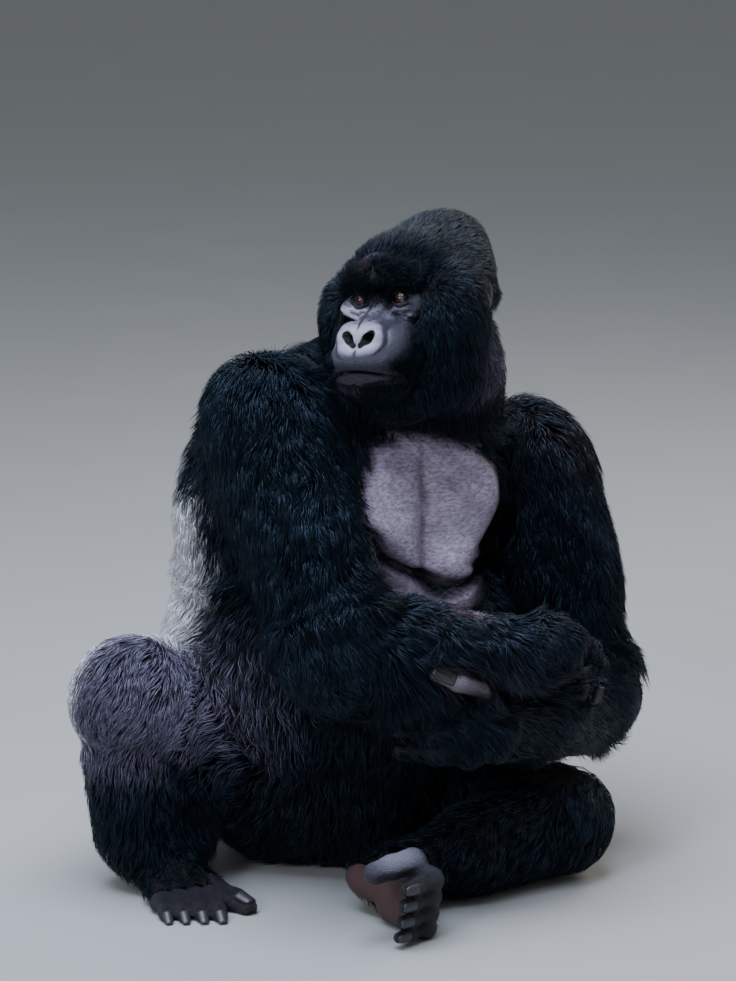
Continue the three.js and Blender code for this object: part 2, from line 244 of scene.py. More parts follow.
def digit(start: Points, along: Points, palm: Points, lengths: list[float], bends: list[float],
          radius: float) -> list[Limb]:
    """The bars of a finger or toe, end to end, each bent further towards the palm than the last.

    Args:
        start: Its root.
        along: The way it would point unbent.
        palm: The way that it bends.
        lengths: Length of each bar.
        bends: Bend before each bar, in degrees.
        radius: Radius at the root.

    Returns:
        The bars, from the root.
    """
    bars, turn = [], 0.0
    for i, (length, bend) in enumerate(zip(lengths, bends)):
        turn += math.radians(bend)
        end = start + length * (along * math.cos(turn) + palm * math.sin(turn))
        bars.append(Limb(start, end, radius * (1 - 0.1 * i), radius * (0.9 - 0.1 * i)))
        start = end
    return bars


# ------------------------------------------------------------------ driving places, as in the solids

TRUNK = upright_frame([0, 0, 0], 30)
HEAD = upright_frame([129, -195, 988], -35, -3, 8)
SHOULDER_R, ELBOW_R, WRIST_R = map(np.array, ([-118.0, -205, 780], [-8.0, -400, 452], [325.0, -348, 446]))
SHOULDER_L, ELBOW_L, WRIST_L = map(np.array, ([325.0, 40, 655], [413.0, -50, 288], [225.0, -380, 316]))
HIP_R, KNEE_R, ANKLE_R = map(np.array, ([-115.0, -60, 165], [-348.0, -240, 326], [-340.0, -228, 100]))
HIP_L, KNEE_L, ANKLE_L = map(np.array, ([115.0, 45, 145], [360.0, -180, 102], [108.0, -352, 70]))
HAND_L = paw_frame([225, -380, 316], [-0.83, -0.5, 0.2], [0.5, -0.8, 0.2], 1)
HAND_R = paw_frame([325, -348, 446], [0.45, 0.87, -0.2], [0.1, 0.18, 0.97], -1)
FOOT_L = paw_frame([40, -416, 57], [0.62, -0.785, 0], [0.785, 0.62, 0], 1)
FOOT_R = paw_frame([-290, -242, -5], [0.24, -0.97, 0], [0, 0, 1], -1)
PAWS = {"hand_left": HAND_L, "hand_right": HAND_R, "foot_left": FOOT_L, "foot_right": FOOT_R}
LAST_BARS = {"hand": (8, 11, 14, 17, 19), "foot": (8, 10, 12, 14, 16)}  # of each digit, among a paw's masses
EYE_SIDE, EYE_FORWARD, EYE_UP, EYE_RADIUS = 39.0, 113.0, 11.0, 14.0


# ------------------------------------------------------------------ the lie of the coat

Lie = Callable[[Points], Points]


def running(start: Points, end: Points, hang: float = 0.0) -> Lie:
    """Hair that runs from one place towards another and hangs by a share of its length."""
    way = unit(end - start) + hang * DOWN
    return lambda p: np.broadcast_to(way, p.shape)


def falling(p: Points) -> Points:
    """Hair of the trunk: down, and away from the spine's axis where the body faces up or down."""
    out = p * np.array([1.0, 1.0, 0.0])
    return DOWN + 0.45 * unit(out)


def swept(p: Points) -> Points:
    """Hair of the head: back over the crown, down the nape, and down and back from the cheeks and chin.

    Args:
        p: Places.

    Returns:
        The way that the hair lies at each.
    """
    left, forward, up = HEAD.local(p).T
    crown = rise(up, 0.0, 55.0)
    nape = rise(forward, -30.0, -120.0)
    temple = 4 * crown * (1 - crown) * rise(forward, 0, 60)
    steps = np.stack([
        0.25 * left / 90.0 * (1 - crown) + 1.1 * temple * np.clip(left / 40.0, -1, 1),
        -1.0 * crown - 0.35 * (1 - crown) * rise(up, -150, -60),
        -1.1 * (1 - crown) - 0.9 * crown * nape,
    ], axis=1)
    return steps @ HEAD.axes


@dataclass(frozen=True)
class Hair:
    """What grows on a sub-part: depth of the coat, and each strand's length and width, in millimetres."""

    depth: float
    length: float
    width: float


@dataclass(frozen=True)
class Part:
    """A sub-part: its masses, the fillets inside it and towards the body, its hair, and how that lies."""

    masses: list[Mass]
    fillet: float
    root: float
    hair: Hair
    lie: Lie
    axis: tuple[Points, Points]

    def box(self, margin: float) -> tuple[Points, Points]:
        """The box round its masses, with a margin.

        Args:
            margin: How much to add on every side.

        Returns:
            The lowest and highest corner.
        """
        low = np.min([m.ends().min(0) - m.reach() for m in self.masses if not m.pressed], axis=0)
        high = np.max([m.ends().max(0) + m.reach() for m in self.masses if not m.pressed], axis=0)
        return low - margin, high + margin

    def distance(self, p: Points) -> Points:
        """Its masses joined in turn, with the pressed ones pressed in.

        Args:
            p: Places.

        Returns:
            One distance for each, negative inside.
        """
        d = self.masses[0].distance(p)
        for mass in self.masses[1:]:
            d = (pressed_into if mass.pressed else joined)(d, mass.distance(p), self.fillet)
        return d

    def unwrap(self, p: Points) -> Points:
        """The skin unrolled round the part's axis: the angle, and the way along, each from 0 to 1.

        Args:
            p: Places.

        Returns:
            Two numbers for each.
        """
        start, end = self.axis
        d = end - start
        way = unit(d)
        side = unit(np.cross(way, np.array([0.31, 0.95, 0.02])))
        q = p - start
        angle = np.arctan2(q @ np.cross(way, side), q @ side)
        along = (q @ way / np.linalg.norm(d) + 0.6) / 2.2
        return np.stack([angle / (2 * math.pi) + 0.5, np.clip(along, 0, 1)], axis=1)


class Anatomy:
    """The gorilla's sub-parts and the distance functions that they make together."""

    FAR = 400.0  # stands for the distance of a part whose box is further than the margin
    MARGIN = 130.0
    BLEND = 14.0  # how fast one part's share falls off into the next
    LEAST_COAT = 0.6
    FACE_REACH = 150.0  # the face's small forms lie within this of its middle

    def __init__(self) -> None:
        """Lists the sub-parts from the extremities to the trunk, as the solids are parted."""
        self.parts: dict[str, Part] = {
            "ear_left": self.ear(1), "ear_right": self.ear(-1), "face": self.face(),
            "hand_left": self.hand(HAND_L, [38, 85, 40], 36),
            "hand_right": self.hand(HAND_R, [25, 45, 40], 0),
            "foot_left": self.foot(FOOT_L, [72, 12], (100, 72, 12), [-0.05, -0.08, -0.99]),
            "foot_right": self.foot(FOOT_R, [8, 20], (96, 60, 22), [0.85, 0.52, -0.04]),
            "head": self.head(), **self.limbs(), **self.trunk(),
        }
        self.names = list(self.parts)

    @staticmethod
    def ear(side: int) -> Part:
        """An upright oval with a hollow in it.

        Args:
            side: 1 for left, -1 for right.

        Returns:
            The sub-part.
        """
        at = HEAD.at(side * 124, 8, 5)
        return Part([
            Ball(HEAD, (side * 124, 8, 5), (12, 23, 30)),
            Ball(HEAD, (side * 136, 13, 5), (8, 12, 18), pressed=True),
        ], 5, 6, Hair(0.5, 9, 0.7), swept, (at - HEAD.axes[0] * side * 10, at + HEAD.axes[0] * side * 14))

    @staticmethod
    def face() -> Part:
        """Brow, eye sockets, muzzle, nose and lips.

        Returns:
            The sub-part.
        """
        brows = [Limb(HEAD.at(s * 52, 100, 44), HEAD.at(0, 114, 52), 24, 26) for s in (-1, 1)]
        eyes = [(s * EYE_SIDE, EYE_FORWARD, EYE_UP) for s in (-1, 1)]
        sockets = [Limb(HEAD.at(x, y + 18, z), HEAD.at(x, y + 38, z), 17, 22, pressed=True)
                   for x, y, z in eyes]
        return Part([
            *brows,
            Ball(HEAD, (0, 90, 4), (74, 38, 46)),
            Ball(HEAD, (-3, 128, -70), (78, 66, 58)),
            Ball(HEAD, (0, 157, -42), (50, 34, 27)),
            Ball(HEAD, (-7, 163, -80), (79, 46, 30)),
            Ball(HEAD, (-7, 152, -118), (67, 45, 23)),
            *sockets,
        ], 15, 18, Hair(6, 13, 0.7), swept, (HEAD.at(0, 60, -120), HEAD.at(0, 60, 60)))

    @staticmethod
    def head() -> Part:
        """Braincase, crest, forehead, cheeks, jaw ruffs and beard.

        Returns:
            The sub-part.
        """
        cheeks = [Ball(HEAD, (s * 93, 60, -26), (61, 76, 92)) for s in (-1, 1)]
        ruffs = [Ball(HEAD, (s * 58, 36, -106), (76, 92, 72)) for s in (-1, 1)]
        return Part([
            Ball(HEAD, (0, -14, 34), (115, 126, 91)),
            Ball(HEAD, (0, -66, 82), (74, 90, 64)),
            Ball(HEAD, (0, 48, 62), (94, 78, 50)),
            cheeks[0], ruffs[0], cheeks[1], ruffs[1],
            Ball(HEAD, (0, 88, -142), (64, 74, 50)),
        ], 30, 40, Hair(17, 34, 1.2), swept, (HEAD.at(0, 0, -140), HEAD.at(0, 0, 140)))

    @staticmethod
    def hand(f: Frame, bends: list[float], lift: float) -> Part:
        """Wrist, ball of the thumb, knuckles, four fingers and the thumb, which is lifted off the palm.

        Args:
            f: The hand's frame.
            bends: Bends of a finger's joints, in degrees.
            lift: How far the thumb is lifted, in millimetres.

        Returns:
            The sub-part.
        """
        along, inner, back = f.axes
        knuckles = [(102 - 4 * i, off) for i, off in enumerate((44, 15, -14, -42))]
        thumb = unit(along * 0.96 + inner * 0.27)
        return Part([
            Limb(f.at(-10, 0, 0), f.at(50, 0, 0), 44, 40),
            Limb(f.at(4, 24, 0), f.at(32, 56, 14 + lift), 30, 22),
            *[Limb(f.at(20, off * 0.7, 0), f.at(on, off, 0), 30, 23) for on, off in knuckles],
            *[bar for i, (on, off) in enumerate(knuckles)
              for bar in digit(f.at(on, off, 0), along, -back, [58, 40, 28], bends, 19 - i)],
            *digit(f.at(34, 58, 16 + lift), thumb, -back, [56, 40], [0, 10], 18),
        ], 9, 20, Hair(8, 30, 1.2), running(f.at(60, 0, 0), f.at(0, -25, 0), 0.6),
            (f.at(0, 0, 0), f.at(120, 0, 0)))

    @staticmethod
    def foot(f: Frame, bends: list[float], great_root: tuple[float, float, float],
             great_way: list[float]) -> Part:
        """Heel, instep, balls, four toes, and the great toe from its root along its own way.

        Args:
            f: The foot's frame.
            bends: Bends of a toe's joints, in degrees.
            great_root: Where the great toe starts, in the frame.
            great_way: Where it points, in the frame.

        Returns:
            The sub-part.
        """
        along, _, top = f.axes
        balls = [(134 - 6 * i, off) for i, off in enumerate((47, 18, -11, -38))]
        great = unit(np.array(great_way)) @ f.axes
        return Part([
            Ball(f, (-42, 0, 40), (48, 36, 40)),
            Limb(f.at(-25, 0, 50), f.at(55, 2, 42), 46, 40),
            Limb(f.at(30, 26, 34), f.at(92, 60, 16), 30, 26),
            *[Limb(f.at(30, off * 0.7, 34), f.at(on, off, 24), 32, 21) for on, off in balls],
            *[bar for i, (on, off) in enumerate(balls)
              for bar in digit(f.at(on, off, 22), along, -top, [38, 26], bends, 14.5 - 0.7 * i)],
            *digit(f.at(*great_root), great, -top, [42, 30], [0, 8], 22),
        ], 9, 24, Hair(7, 24, 1.2), running(f.at(0, 0, 40), f.at(80, 0, 10), 0.2),
            (f.at(-20, 0, 30), f.at(120, 0, 30)))

    @staticmethod
    def limbs() -> dict[str, Part]:
        """Forearms, shanks, upper arms and thighs, each one or two bars.

        Returns:
            The sub-parts by name.
        """
        def part(bars: list[Limb], root: float, hair: Hair, lie: Lie) -> Part:
            """A part of the limb whose axis is its first bar's."""
            return Part(bars, 40, root, hair, lie, (bars[0].start, bars[0].end))

        def down(start: Points, end: Points, share: float) -> Points:
            """The place a share of the way from start to end."""
            return start + share * (end - start)

        fore, upper, leg, thigh = Hair(27, 78, 2.0), Hair(30, 86, 2.1), Hair(21, 46, 1.7), Hair(23, 54, 1.9)
        return {
            "forearm_left": part([Limb(ELBOW_L, WRIST_L, 84, 60),
                                  Limb(ELBOW_L, down(ELBOW_L, WRIST_L, 0.5), 84, 82)],
                                 30, fore, running(WRIST_L, ELBOW_L, 0.75)),
            "forearm_right": part([Limb(ELBOW_R, WRIST_R, 90, 58),
                                   Limb(ELBOW_R, down(ELBOW_R, WRIST_R, 0.4), 98, 78)],
                                  30, fore, running(ELBOW_R, WRIST_R, 1.3)),
            "shank_left": part([Limb(KNEE_L, ANKLE_L, 80, 52),
                                Limb(KNEE_L, down(KNEE_L, ANKLE_L, 0.6), 80, 74)],
                               40, leg, running(KNEE_L, ANKLE_L, 0.9)),
            "shank_right": part([Limb(KNEE_R, ANKLE_R, 100, 84),
                                 Limb(KNEE_R + [30, 40, -90], ANKLE_R + [55, 25, 0], 90, 84)],
                                40, leg, running(KNEE_R, ANKLE_R, 0.2)),
            "upper_arm_left": part(
                [Limb(SHOULDER_L, ELBOW_L, 110, 86),
                 Limb(SHOULDER_L + [-38, 0, 30], down(SHOULDER_L, ELBOW_L, 0.5), 104, 102)],
                50, upper, running(SHOULDER_L, ELBOW_L, 0.2)),
            "upper_arm_right": part(
                [Limb(SHOULDER_R, ELBOW_R, 118, 100),
                 Limb(SHOULDER_R + [-14, 60, 18], down(SHOULDER_R, ELBOW_R, 0.5), 102, 104)],
                50, upper, running(SHOULDER_R + [60, -40, 0], ELBOW_R, 0.25)),
            "thigh_left": part([Limb(HIP_L, KNEE_L, 148, 84)], 50, thigh, running(HIP_L, KNEE_L, 0.9)),
            "thigh_right": part([Limb(HIP_R, KNEE_R, 150, 100)], 50, thigh, running(HIP_R, KNEE_R, 0.5)),
        }

    @staticmethod
    def trunk() -> dict[str, Part]:
        """Neck, belly with the pelvis, and chest with the back.

        Returns:
            The sub-parts by name.
        """
        spine = (np.array([0.0, 0, 100]), np.array([0.0, 0, 700]))
        neck = [
            Limb(TRUNK.at(0, 40, 770), HEAD.at(4, -38, -40), 140, 92),
            Limb(TRUNK.at(150, 30, 716), HEAD.at(40, -54, -128), 122, 68),
            Limb(TRUNK.at(-110, 45, 752), HEAD.at(-20, -50, -70), 114, 78),
        ]
        return {
            "neck": Part(neck, 50, 60, Hair(24, 54, 1.7), running(HEAD.origin, TRUNK.at(40, -40, 700)),
                         (neck[0].start, neck[0].end)),
            "belly": Part([
                Ball(TRUNK, (0, 62, 365), (302, 258, 245)),
                Ball(TRUNK, (-42, -60, 350), (270, 190, 250)),
                Ball(TRUNK, (0, 4, 132), (265, 232, 154)),
            ], 60, 60, Hair(24, 58, 1.9), falling, spine),
            "chest": Part([
                Ball(TRUNK, (-10, 75, 640), (245, 180, 205)),
                Ball(TRUNK, (5, -20, 690), (245, 150, 150)),
                Ball(TRUNK, (-160, -20, 600), (140, 155, 200)),
                Ball(TRUNK, (150, -15, 590), (130, 150, 190)),
                Ball(TRUNK, (-78, 178, 662), (112, 88, 108)),
                Ball(TRUNK, (92, 172, 655), (112, 90, 108)),
            ], 34, 60, Hair(24, 58, 1.9), falling, spine),
        }

    def distances(self, p: Points) -> Points:
        """The distance of each place to each part, one row to a part, worked out only near its box.

        Args:
            p: Places.

        Returns:
            One row to a part, one column to a place.
        """
        rows = np.full((len(self.parts), len(p)), self.FAR, np.float64)
        for row, part in zip(rows, self.parts.values()):
            low, high = part.box(self.MARGIN)
            near = np.flatnonzero(((p > low) & (p < high)).all(axis=1))
            if len(near):
                row[near] = part.distance(p[near])
        return rows

    def outer(self, rows: Points) -> Points:
        """The distance to the tips of the coat: the parts joined from the trunk outwards.

        Args:
            rows: Their distances to the parts, one row to a part.

        Returns:
            One distance for each place, negative inside.
        """
        d = rows[-1]
        for row, part in zip(rows[-2::-1], list(self.parts.values())[-2::-1]):
            d = joined(d, row, part.root)
        return d

    @staticmethod
    def shares(rows: Points) -> Points:
        """How much each place belongs to each part: exp(-d / 14 mm), with a sum of 1."""
        w = np.exp(-(rows - rows.min(axis=0)) / Anatomy.BLEND)
        return w / w.sum(axis=0)

    def depth(self, p: Points, shares: Points) -> Points:
        """The coat's depth: each part's, by its share, less where two parts meet, and none where bare.

        Args:
            p: Places.
            shares: Each part's share of them, one row to a part.

        Returns:
            One depth for each, in millimetres.
        """
        depths = np.array([part.hair.depth for part in self.parts.values()])
        meeting = 0.4 + 0.6 * rise(shares.max(axis=0), 0.5, 0.85)
        return np.maximum(depths @ shares * meeting * (1 - self.bare(p, shares)), self.LEAST_COAT)

    def bare(self, p: Points, shares: Points) -> Points:
        """Everywhere without a coat, from 0 to 1: palms, soles and finger ends only on their own paw.

        Args:
            p: Places.
            shares: Each part's share of them, one row to a part.

        Returns:
            One share for each.
        """
        masks = [Markings.face(p), Markings.breast(p), Markings.ears(p)]
        for name, frame in PAWS.items():
            mask = Markings.palm if name.startswith("hand") else Markings.sole
            masks.append(mask(frame.local(p)) * rise(shares[self.names.index(name)], 0.4, 0.8))
        return np.clip(np.max(masks, axis=0), 0, 1)

    def skin(self, p: Points) -> Points:
        """The distance to the skin: to the coat's tips, plus the coat's depth, cut flat by the floor.

        Args:
            p: Places.

        Returns:
            One distance for each, negative inside.
        """
        rows = self.distances(p)
        outer = self.outer(rows)
        d = outer + self.depth(p, self.shares(rows)) + Features.breast(TRUNK.local(p))
        from_face = np.linalg.norm(p - HEAD.at(0, 110, -30), axis=1)
        near = np.flatnonzero((from_face < self.FACE_REACH) & (np.abs(outer) < 60))
        if len(near):
            d[near] = Features.carve(HEAD.local(p[near]), d[near])
        return np.maximum(d, FLOOR_GAP - p[:, 2])

    def slope(self, p: Points, step: float = 0.8) -> tuple[Points, Points]:
        """The skin distance and its unit slope, by differences over a small step.

        Args:
            p: Places.
            step: How far apart the differences are taken.

        Returns:
            The distance and the slope for each.
        """
        n = len(p)
        d = self.skin(np.concatenate([p] + [p + step * axis for axis in np.eye(3)]))
        return d[:n], unit(np.stack([d[n * (i + 1):n * (i + 2)] - d[:n] for i in range(3)], axis=1))

    def lie(self, p: Points, shares: Points) -> Points:
        """The way the coat lies: each part's, by its share."""
        return sum(share[:, None] * part.lie(p) for share, part in zip(shares, self.parts.values()))


# ------------------------------------------------------------------ markings and facial features

class Markings:
    """Where the skin is bare, how the coat is marked, and where light and shade are painted on them, as
    smooth masks of the place.
    """

    @staticmethod
    def oval(q: Points, middle: list[float], radii: list[float], soft: float = 0.12) -> Points:
        """1 inside an ellipsoid, 0 outside, over a soft rim."""
        r = np.linalg.norm((q - np.array(middle)) / np.array(radii), axis=1)
        return rise(r, 1 + soft, 1 - soft)

    @classmethod
    def face(cls, p: Points) -> Points:
        """The bare mask: a band across the eyes, the nose, the muzzle and the lips.

        Args:
            p: Places.

        Returns:
            One share for each.
        """
        q = HEAD.local(p)
        wavy = q + noise(p, 13, 3)[:, None] * 2.0
        eyes = np.max([cls.oval(wavy, [s * 38, 112, -1], [40, 60, 23]) for s in (-1, 1)], axis=0)
        muzzle = cls.oval(wavy, [2, 150, -60], [62, 95, 62], 0.07)
        lips = cls.oval(wavy, [-12, 150, -103], [64, 95, 18], 0.1)
        return np.max([eyes, muzzle, lips], axis=0)

    @classmethod
    def breast(cls, p: Points) -> Points:
        """The bare breast and the thin patch under it.

        Args:
            p: Places.

        Returns:
            One share for each.
        """
        q = TRUNK.local(p) + noise(p, 45, 4)[:, None] * 9
        front = rise(q[:, 1], 130, 215)
        breast = cls.oval(q, [12, 230, 640], [166, 200, 130], 0.24)
        under = cls.oval(q, [12, 240, 512], [126, 200, 58], 0.3) * 0.9
        fold = bell(q[:, 2] - Features.fold_up(q) + 4, 7)
        return front * np.maximum(breast, under) * (1 - 0.7 * fold)

    @staticmethod
    def palm(q: Points) -> Points:
        """Palm, the ends of the curled fingers, and the thumb, in a hand's frame.

        Args:
            q: Places in the hand's frame.

        Returns:
            One share for each.
        """
        palm = rise(q[:, 2], -22, -34) * rise(q[:, 0], 0, 30) * rise(q[:, 0], 128, 108)
        thumb = rise(q[:, 1], 46, 58) * rise(q[:, 0], 26, 44)
        knuckle = rise(np.linalg.norm(q - np.array([134, 34, -2]), axis=1), 15, 9)
        return np.max([palm, thumb, 0.6 * knuckle], axis=0)

    @staticmethod
    def sole(q: Points) -> Points:
        """Sole, toes and great toe, in a foot's frame."""
        great = rise(q[:, 1], 42, 54) * rise(q[:, 0], 62, 82)
        return np.max([rise(q[:, 2], 26, 12), rise(q[:, 0], 108, 126), great], axis=0)

    @classmethod
    def ears(cls, p: Points) -> Points:
        """The bare ears."""
        return np.max([cls.oval(HEAD.local(p), [s * 132, 10, 5], [16, 18, 24]) for s in (-1, 1)], axis=0)

    @classmethod
    def coat(cls, p: Points) -> Points:
        """Silver of the saddle, warm brown with painted rim light on the left shoulder's top edge, and grey
        frosting with painted sheen on the crown and the right forearm, one column each.

        Args:
            p: Places.

        Returns:
            Three shares for each.
        """
        t = TRUNK.local(p)
        h = HEAD.local(p)
        patchy = noise(p, 70, 5) * 24
        silver = rise(t[:, 1] + patchy, -10, -130) * rise(t[:, 2], 790, 660) * rise(t[:, 2] + patchy, 40, 200)
        side = rise(np.abs(t[:, 0]), 150, 215) * rise(t[:, 1] + 0.6 * patchy, 70, -40)
        flank = side * rise(t[:, 2] + patchy, 700, 630) * rise(t[:, 2] + patchy, 190, 330)
        low = rise(np.abs(t[:, 0]), 130, 230) * cls.oval(t, [-215, 60, 330], [150, 170, 130], 0.5) * 0.5
        knee = cls.oval(p, list(KNEE_R + [-20, -10, 20]), [150, 150, 130], 0.4)
        # Lighter on the crown's front and top: partly grey hair, partly painted sheen where the top light
        # catches the fur.
        crown = rise(h[:, 2] + 0.15 * h[:, 1], 92, 118) * rise(h[:, 1], -80, 15)
        temple = cls.oval(h, [112, 64, 30], [30, 22, 34], 0.5)
        nape = cls.oval(h, [100, -25, -96], [54, 70, 66], 0.5)
        rust = cls.oval(h, [-13, 130, 62], [15, 40, 9], 0.5)
        blaze = cls.oval(h, [-10, 120, 74], [22, 40, 7], 0.6)
        # Painted sheen: a faint grey frosting along the top of the right forearm.
        arm = rise(np.linalg.norm(p - (ELBOW_R + WRIST_R) / 2 - [40, -20, 60], axis=1), 190, 90) * 0.16
        # Brown on the left shoulder's top edge: partly brown fur, partly painted rim light.
        shoulder = cls.oval(p, list(SHOULDER_L + [30, 20, 85]), [130, 130, 90], 0.5)
        chin = cls.oval(h, [-34, 180, -120], [30, 40, 9], 0.5)
        sole = cls.oval(FOOT_L.local(p), [10, 0, -10], [110, 80, 42], 0.3)
        thumb = cls.oval(HAND_L.local(p), [90, 84, 46], [70, 36, 36], 0.4)
        skins = np.clip(sole + 0.6 * thumb, 0, 1)
        warm = 0.5 * rust + 0.3 * shoulder + 0.3 * nape + 0.3 * chin + skins
        frost_and_sheen = 0.22 * crown + 0.22 * temple + 0.7 * knee + 0.5 * nape + low + 0.4 * chin + 0.3 * blaze + arm
        return np.clip(np.stack([np.maximum(silver, flank), warm, frost_and_sheen], axis=1), 0, 1)

    @classmethod
    def tone_and_painted_light(cls, p: Points) -> Points:
        """Bare skin from -1, near black, through 0 to 1, pale: nose, under the eyes, great toe; it holds
        painted shade in hollows and creases and painted highlights under the eyes and on the great toe.

        Args:
            p: Places.

        Returns:
            One value for each.
        """
        h = HEAD.local(p)
        m = mirrored(h)
        wavy = m + noise(p, 7, 12)[:, None] * 1.5
        top = cls.oval(wavy, [0, 165, -19], [20, 30, 9], 0.6)
        nose = cls.oval(wavy, [0, 182, -44], [49, 48, 26], 0.3) * (1 - 0.5 * top)
        # Painted highlights of the glossy skin under the eyes, stronger on the animal's right than on its
        # left.
        highlight_side = 0.62 - 0.34 * np.clip(h[:, 0] / 40, -1, 1)
        under = cls.oval(wavy, [50, 120, -8], [34, 45, 15], 0.45) * highlight_side
        bridge = cls.oval(wavy, [0, 128, 0], [17, 34, 18], 0.6) * 0.55
        foot, hand = FOOT_L.local(p), HAND_L.local(p)
        # A painted highlight on the top of the great toe.
        great = cls.oval(foot, [104, 88, -24], [30, 22, 36], 0.9) * 0.48
        thumb = cls.oval(hand, [112, 74, 60], [40, 26, 30], 0.6) * 0.35
        # Painted shade inside the nostrils.
        hole = rise(Features.nostril(m), 1.7, 0.4) * rise(h[:, 1], 140, 150)
        x, y, z = (m - np.array([EYE_SIDE, EYE_FORWARD, EYE_UP])).T
        rim = rise(np.abs(np.hypot(x, z * 1.5) - 15.5), 6.5, 1.5) * rise(y, 2, 8)
        corner = np.abs(h[:, 0] - Features.MOUTH_SIDE)
        # Painted shade in the gap between the lips.
        line = rise(np.abs(h[:, 2] - Features.mouth_up(corner)), 5.0, 2.2) * rise(h[:, 1], 125, 140)
        toes = rise(foot[:, 0], 96, 124) * rise(foot[:, 1], 70, 56) * 0.95
        other = rise(np.linalg.norm(p - FOOT_R.at(70, 0, 20), axis=1), 170, 140) * 0.8
        fingers = rise(np.linalg.norm(hand - [110, -20, -10], axis=1), 110, 70) * 0.7 * (1 - thumb)
        worn = 0.3 * rise(noise(wavy * [0.7, 0.5, 2.0], 5.0, 14), 0.1, 0.9)
        worn = worn * rise(h[:, 1], 90, 120) * rise(h[:, 2], -36, -16)
        # Painted shade beside the animal's left eye, on the outer side of the face.
        outer = rise(h[:, 0], 44, 66) * rise(h[:, 2], -18, -4) * rise(h[:, 1], 70, 90) * 0.5
        # Painted shade in the groove under the nose, in the crease round the nose wings, and in the inner
        # corners of the eyes.
        seam = bell(m[:, 0], 2.4) * rise(m[:, 2], -95, -60) * rise(np.abs(m[:, 2] + 46), 8, 20) * 0.5
        eye_corner_shade = cls.oval(m, [19, 122, 2], [5, 20, 7], 0.6) * 0.6
        wings = Features.wing_crease(m) * 0.6
        lip = cls.oval(h, [-7, 170, -122], [66, 50, 17], 0.3) * 0.72
        ears = cls.ears(p) * 0.6
        t = TRUNK.local(p)
        front, over = rise(t[:, 1], 130, 200) * cls.breast(p), t[:, 2] - Features.fold_up(t)
        # Painted shade in the fold under the breast and along its middle furrow.
        fold = bell(over + 4, 7) * 0.9
        furrow = bell(t[:, 0] - Features.BREAST_SIDE, 5) * rise(over, 0, 30) * 0.4
        dark = np.max([hole, 0.9 * rim, line * rise(corner, 70, 64), toes, other, fingers, worn, seam,
                       eye_corner_shade, outer, wings, lip, ears, front * fold, front * furrow], axis=0)
        return np.max([nose, under, bridge, great, thumb], axis=0) * (1 - dark) - dark

    @classmethod
    def skin(cls, p: Points, bare: Points) -> Points:
        """Bare skin, its colour with painted shade and highlights, and the breast's painted light: 0 off it,
        and from 0.3, in painted shade, to 1, fully lit, on it.

        Args:
            p: Places.
            bare: How bare each is.

        Returns:
            Three numbers for each.
        """
        t = TRUNK.local(p)
        over, side = t[:, 2] - Features.fold_up(t), np.abs(t[:, 0] - Features.BREAST_SIDE)
        # Painted light on the breast: lightest over the lower swell of each side, painted shade below the
        # fold, with a little noise.
        painted_highlight = bell(over - 50, 80) * bell(side - 68, 62)
        painted_lighting = np.where(over > -4, 0.52 + 0.48 * painted_highlight, 0.45) + 0.1 * noise(p, 26, 15)
        return np.stack([bare, cls.tone_and_painted_light(p), cls.breast(p) * np.clip(painted_lighting, 0.3, 1)], axis=1)


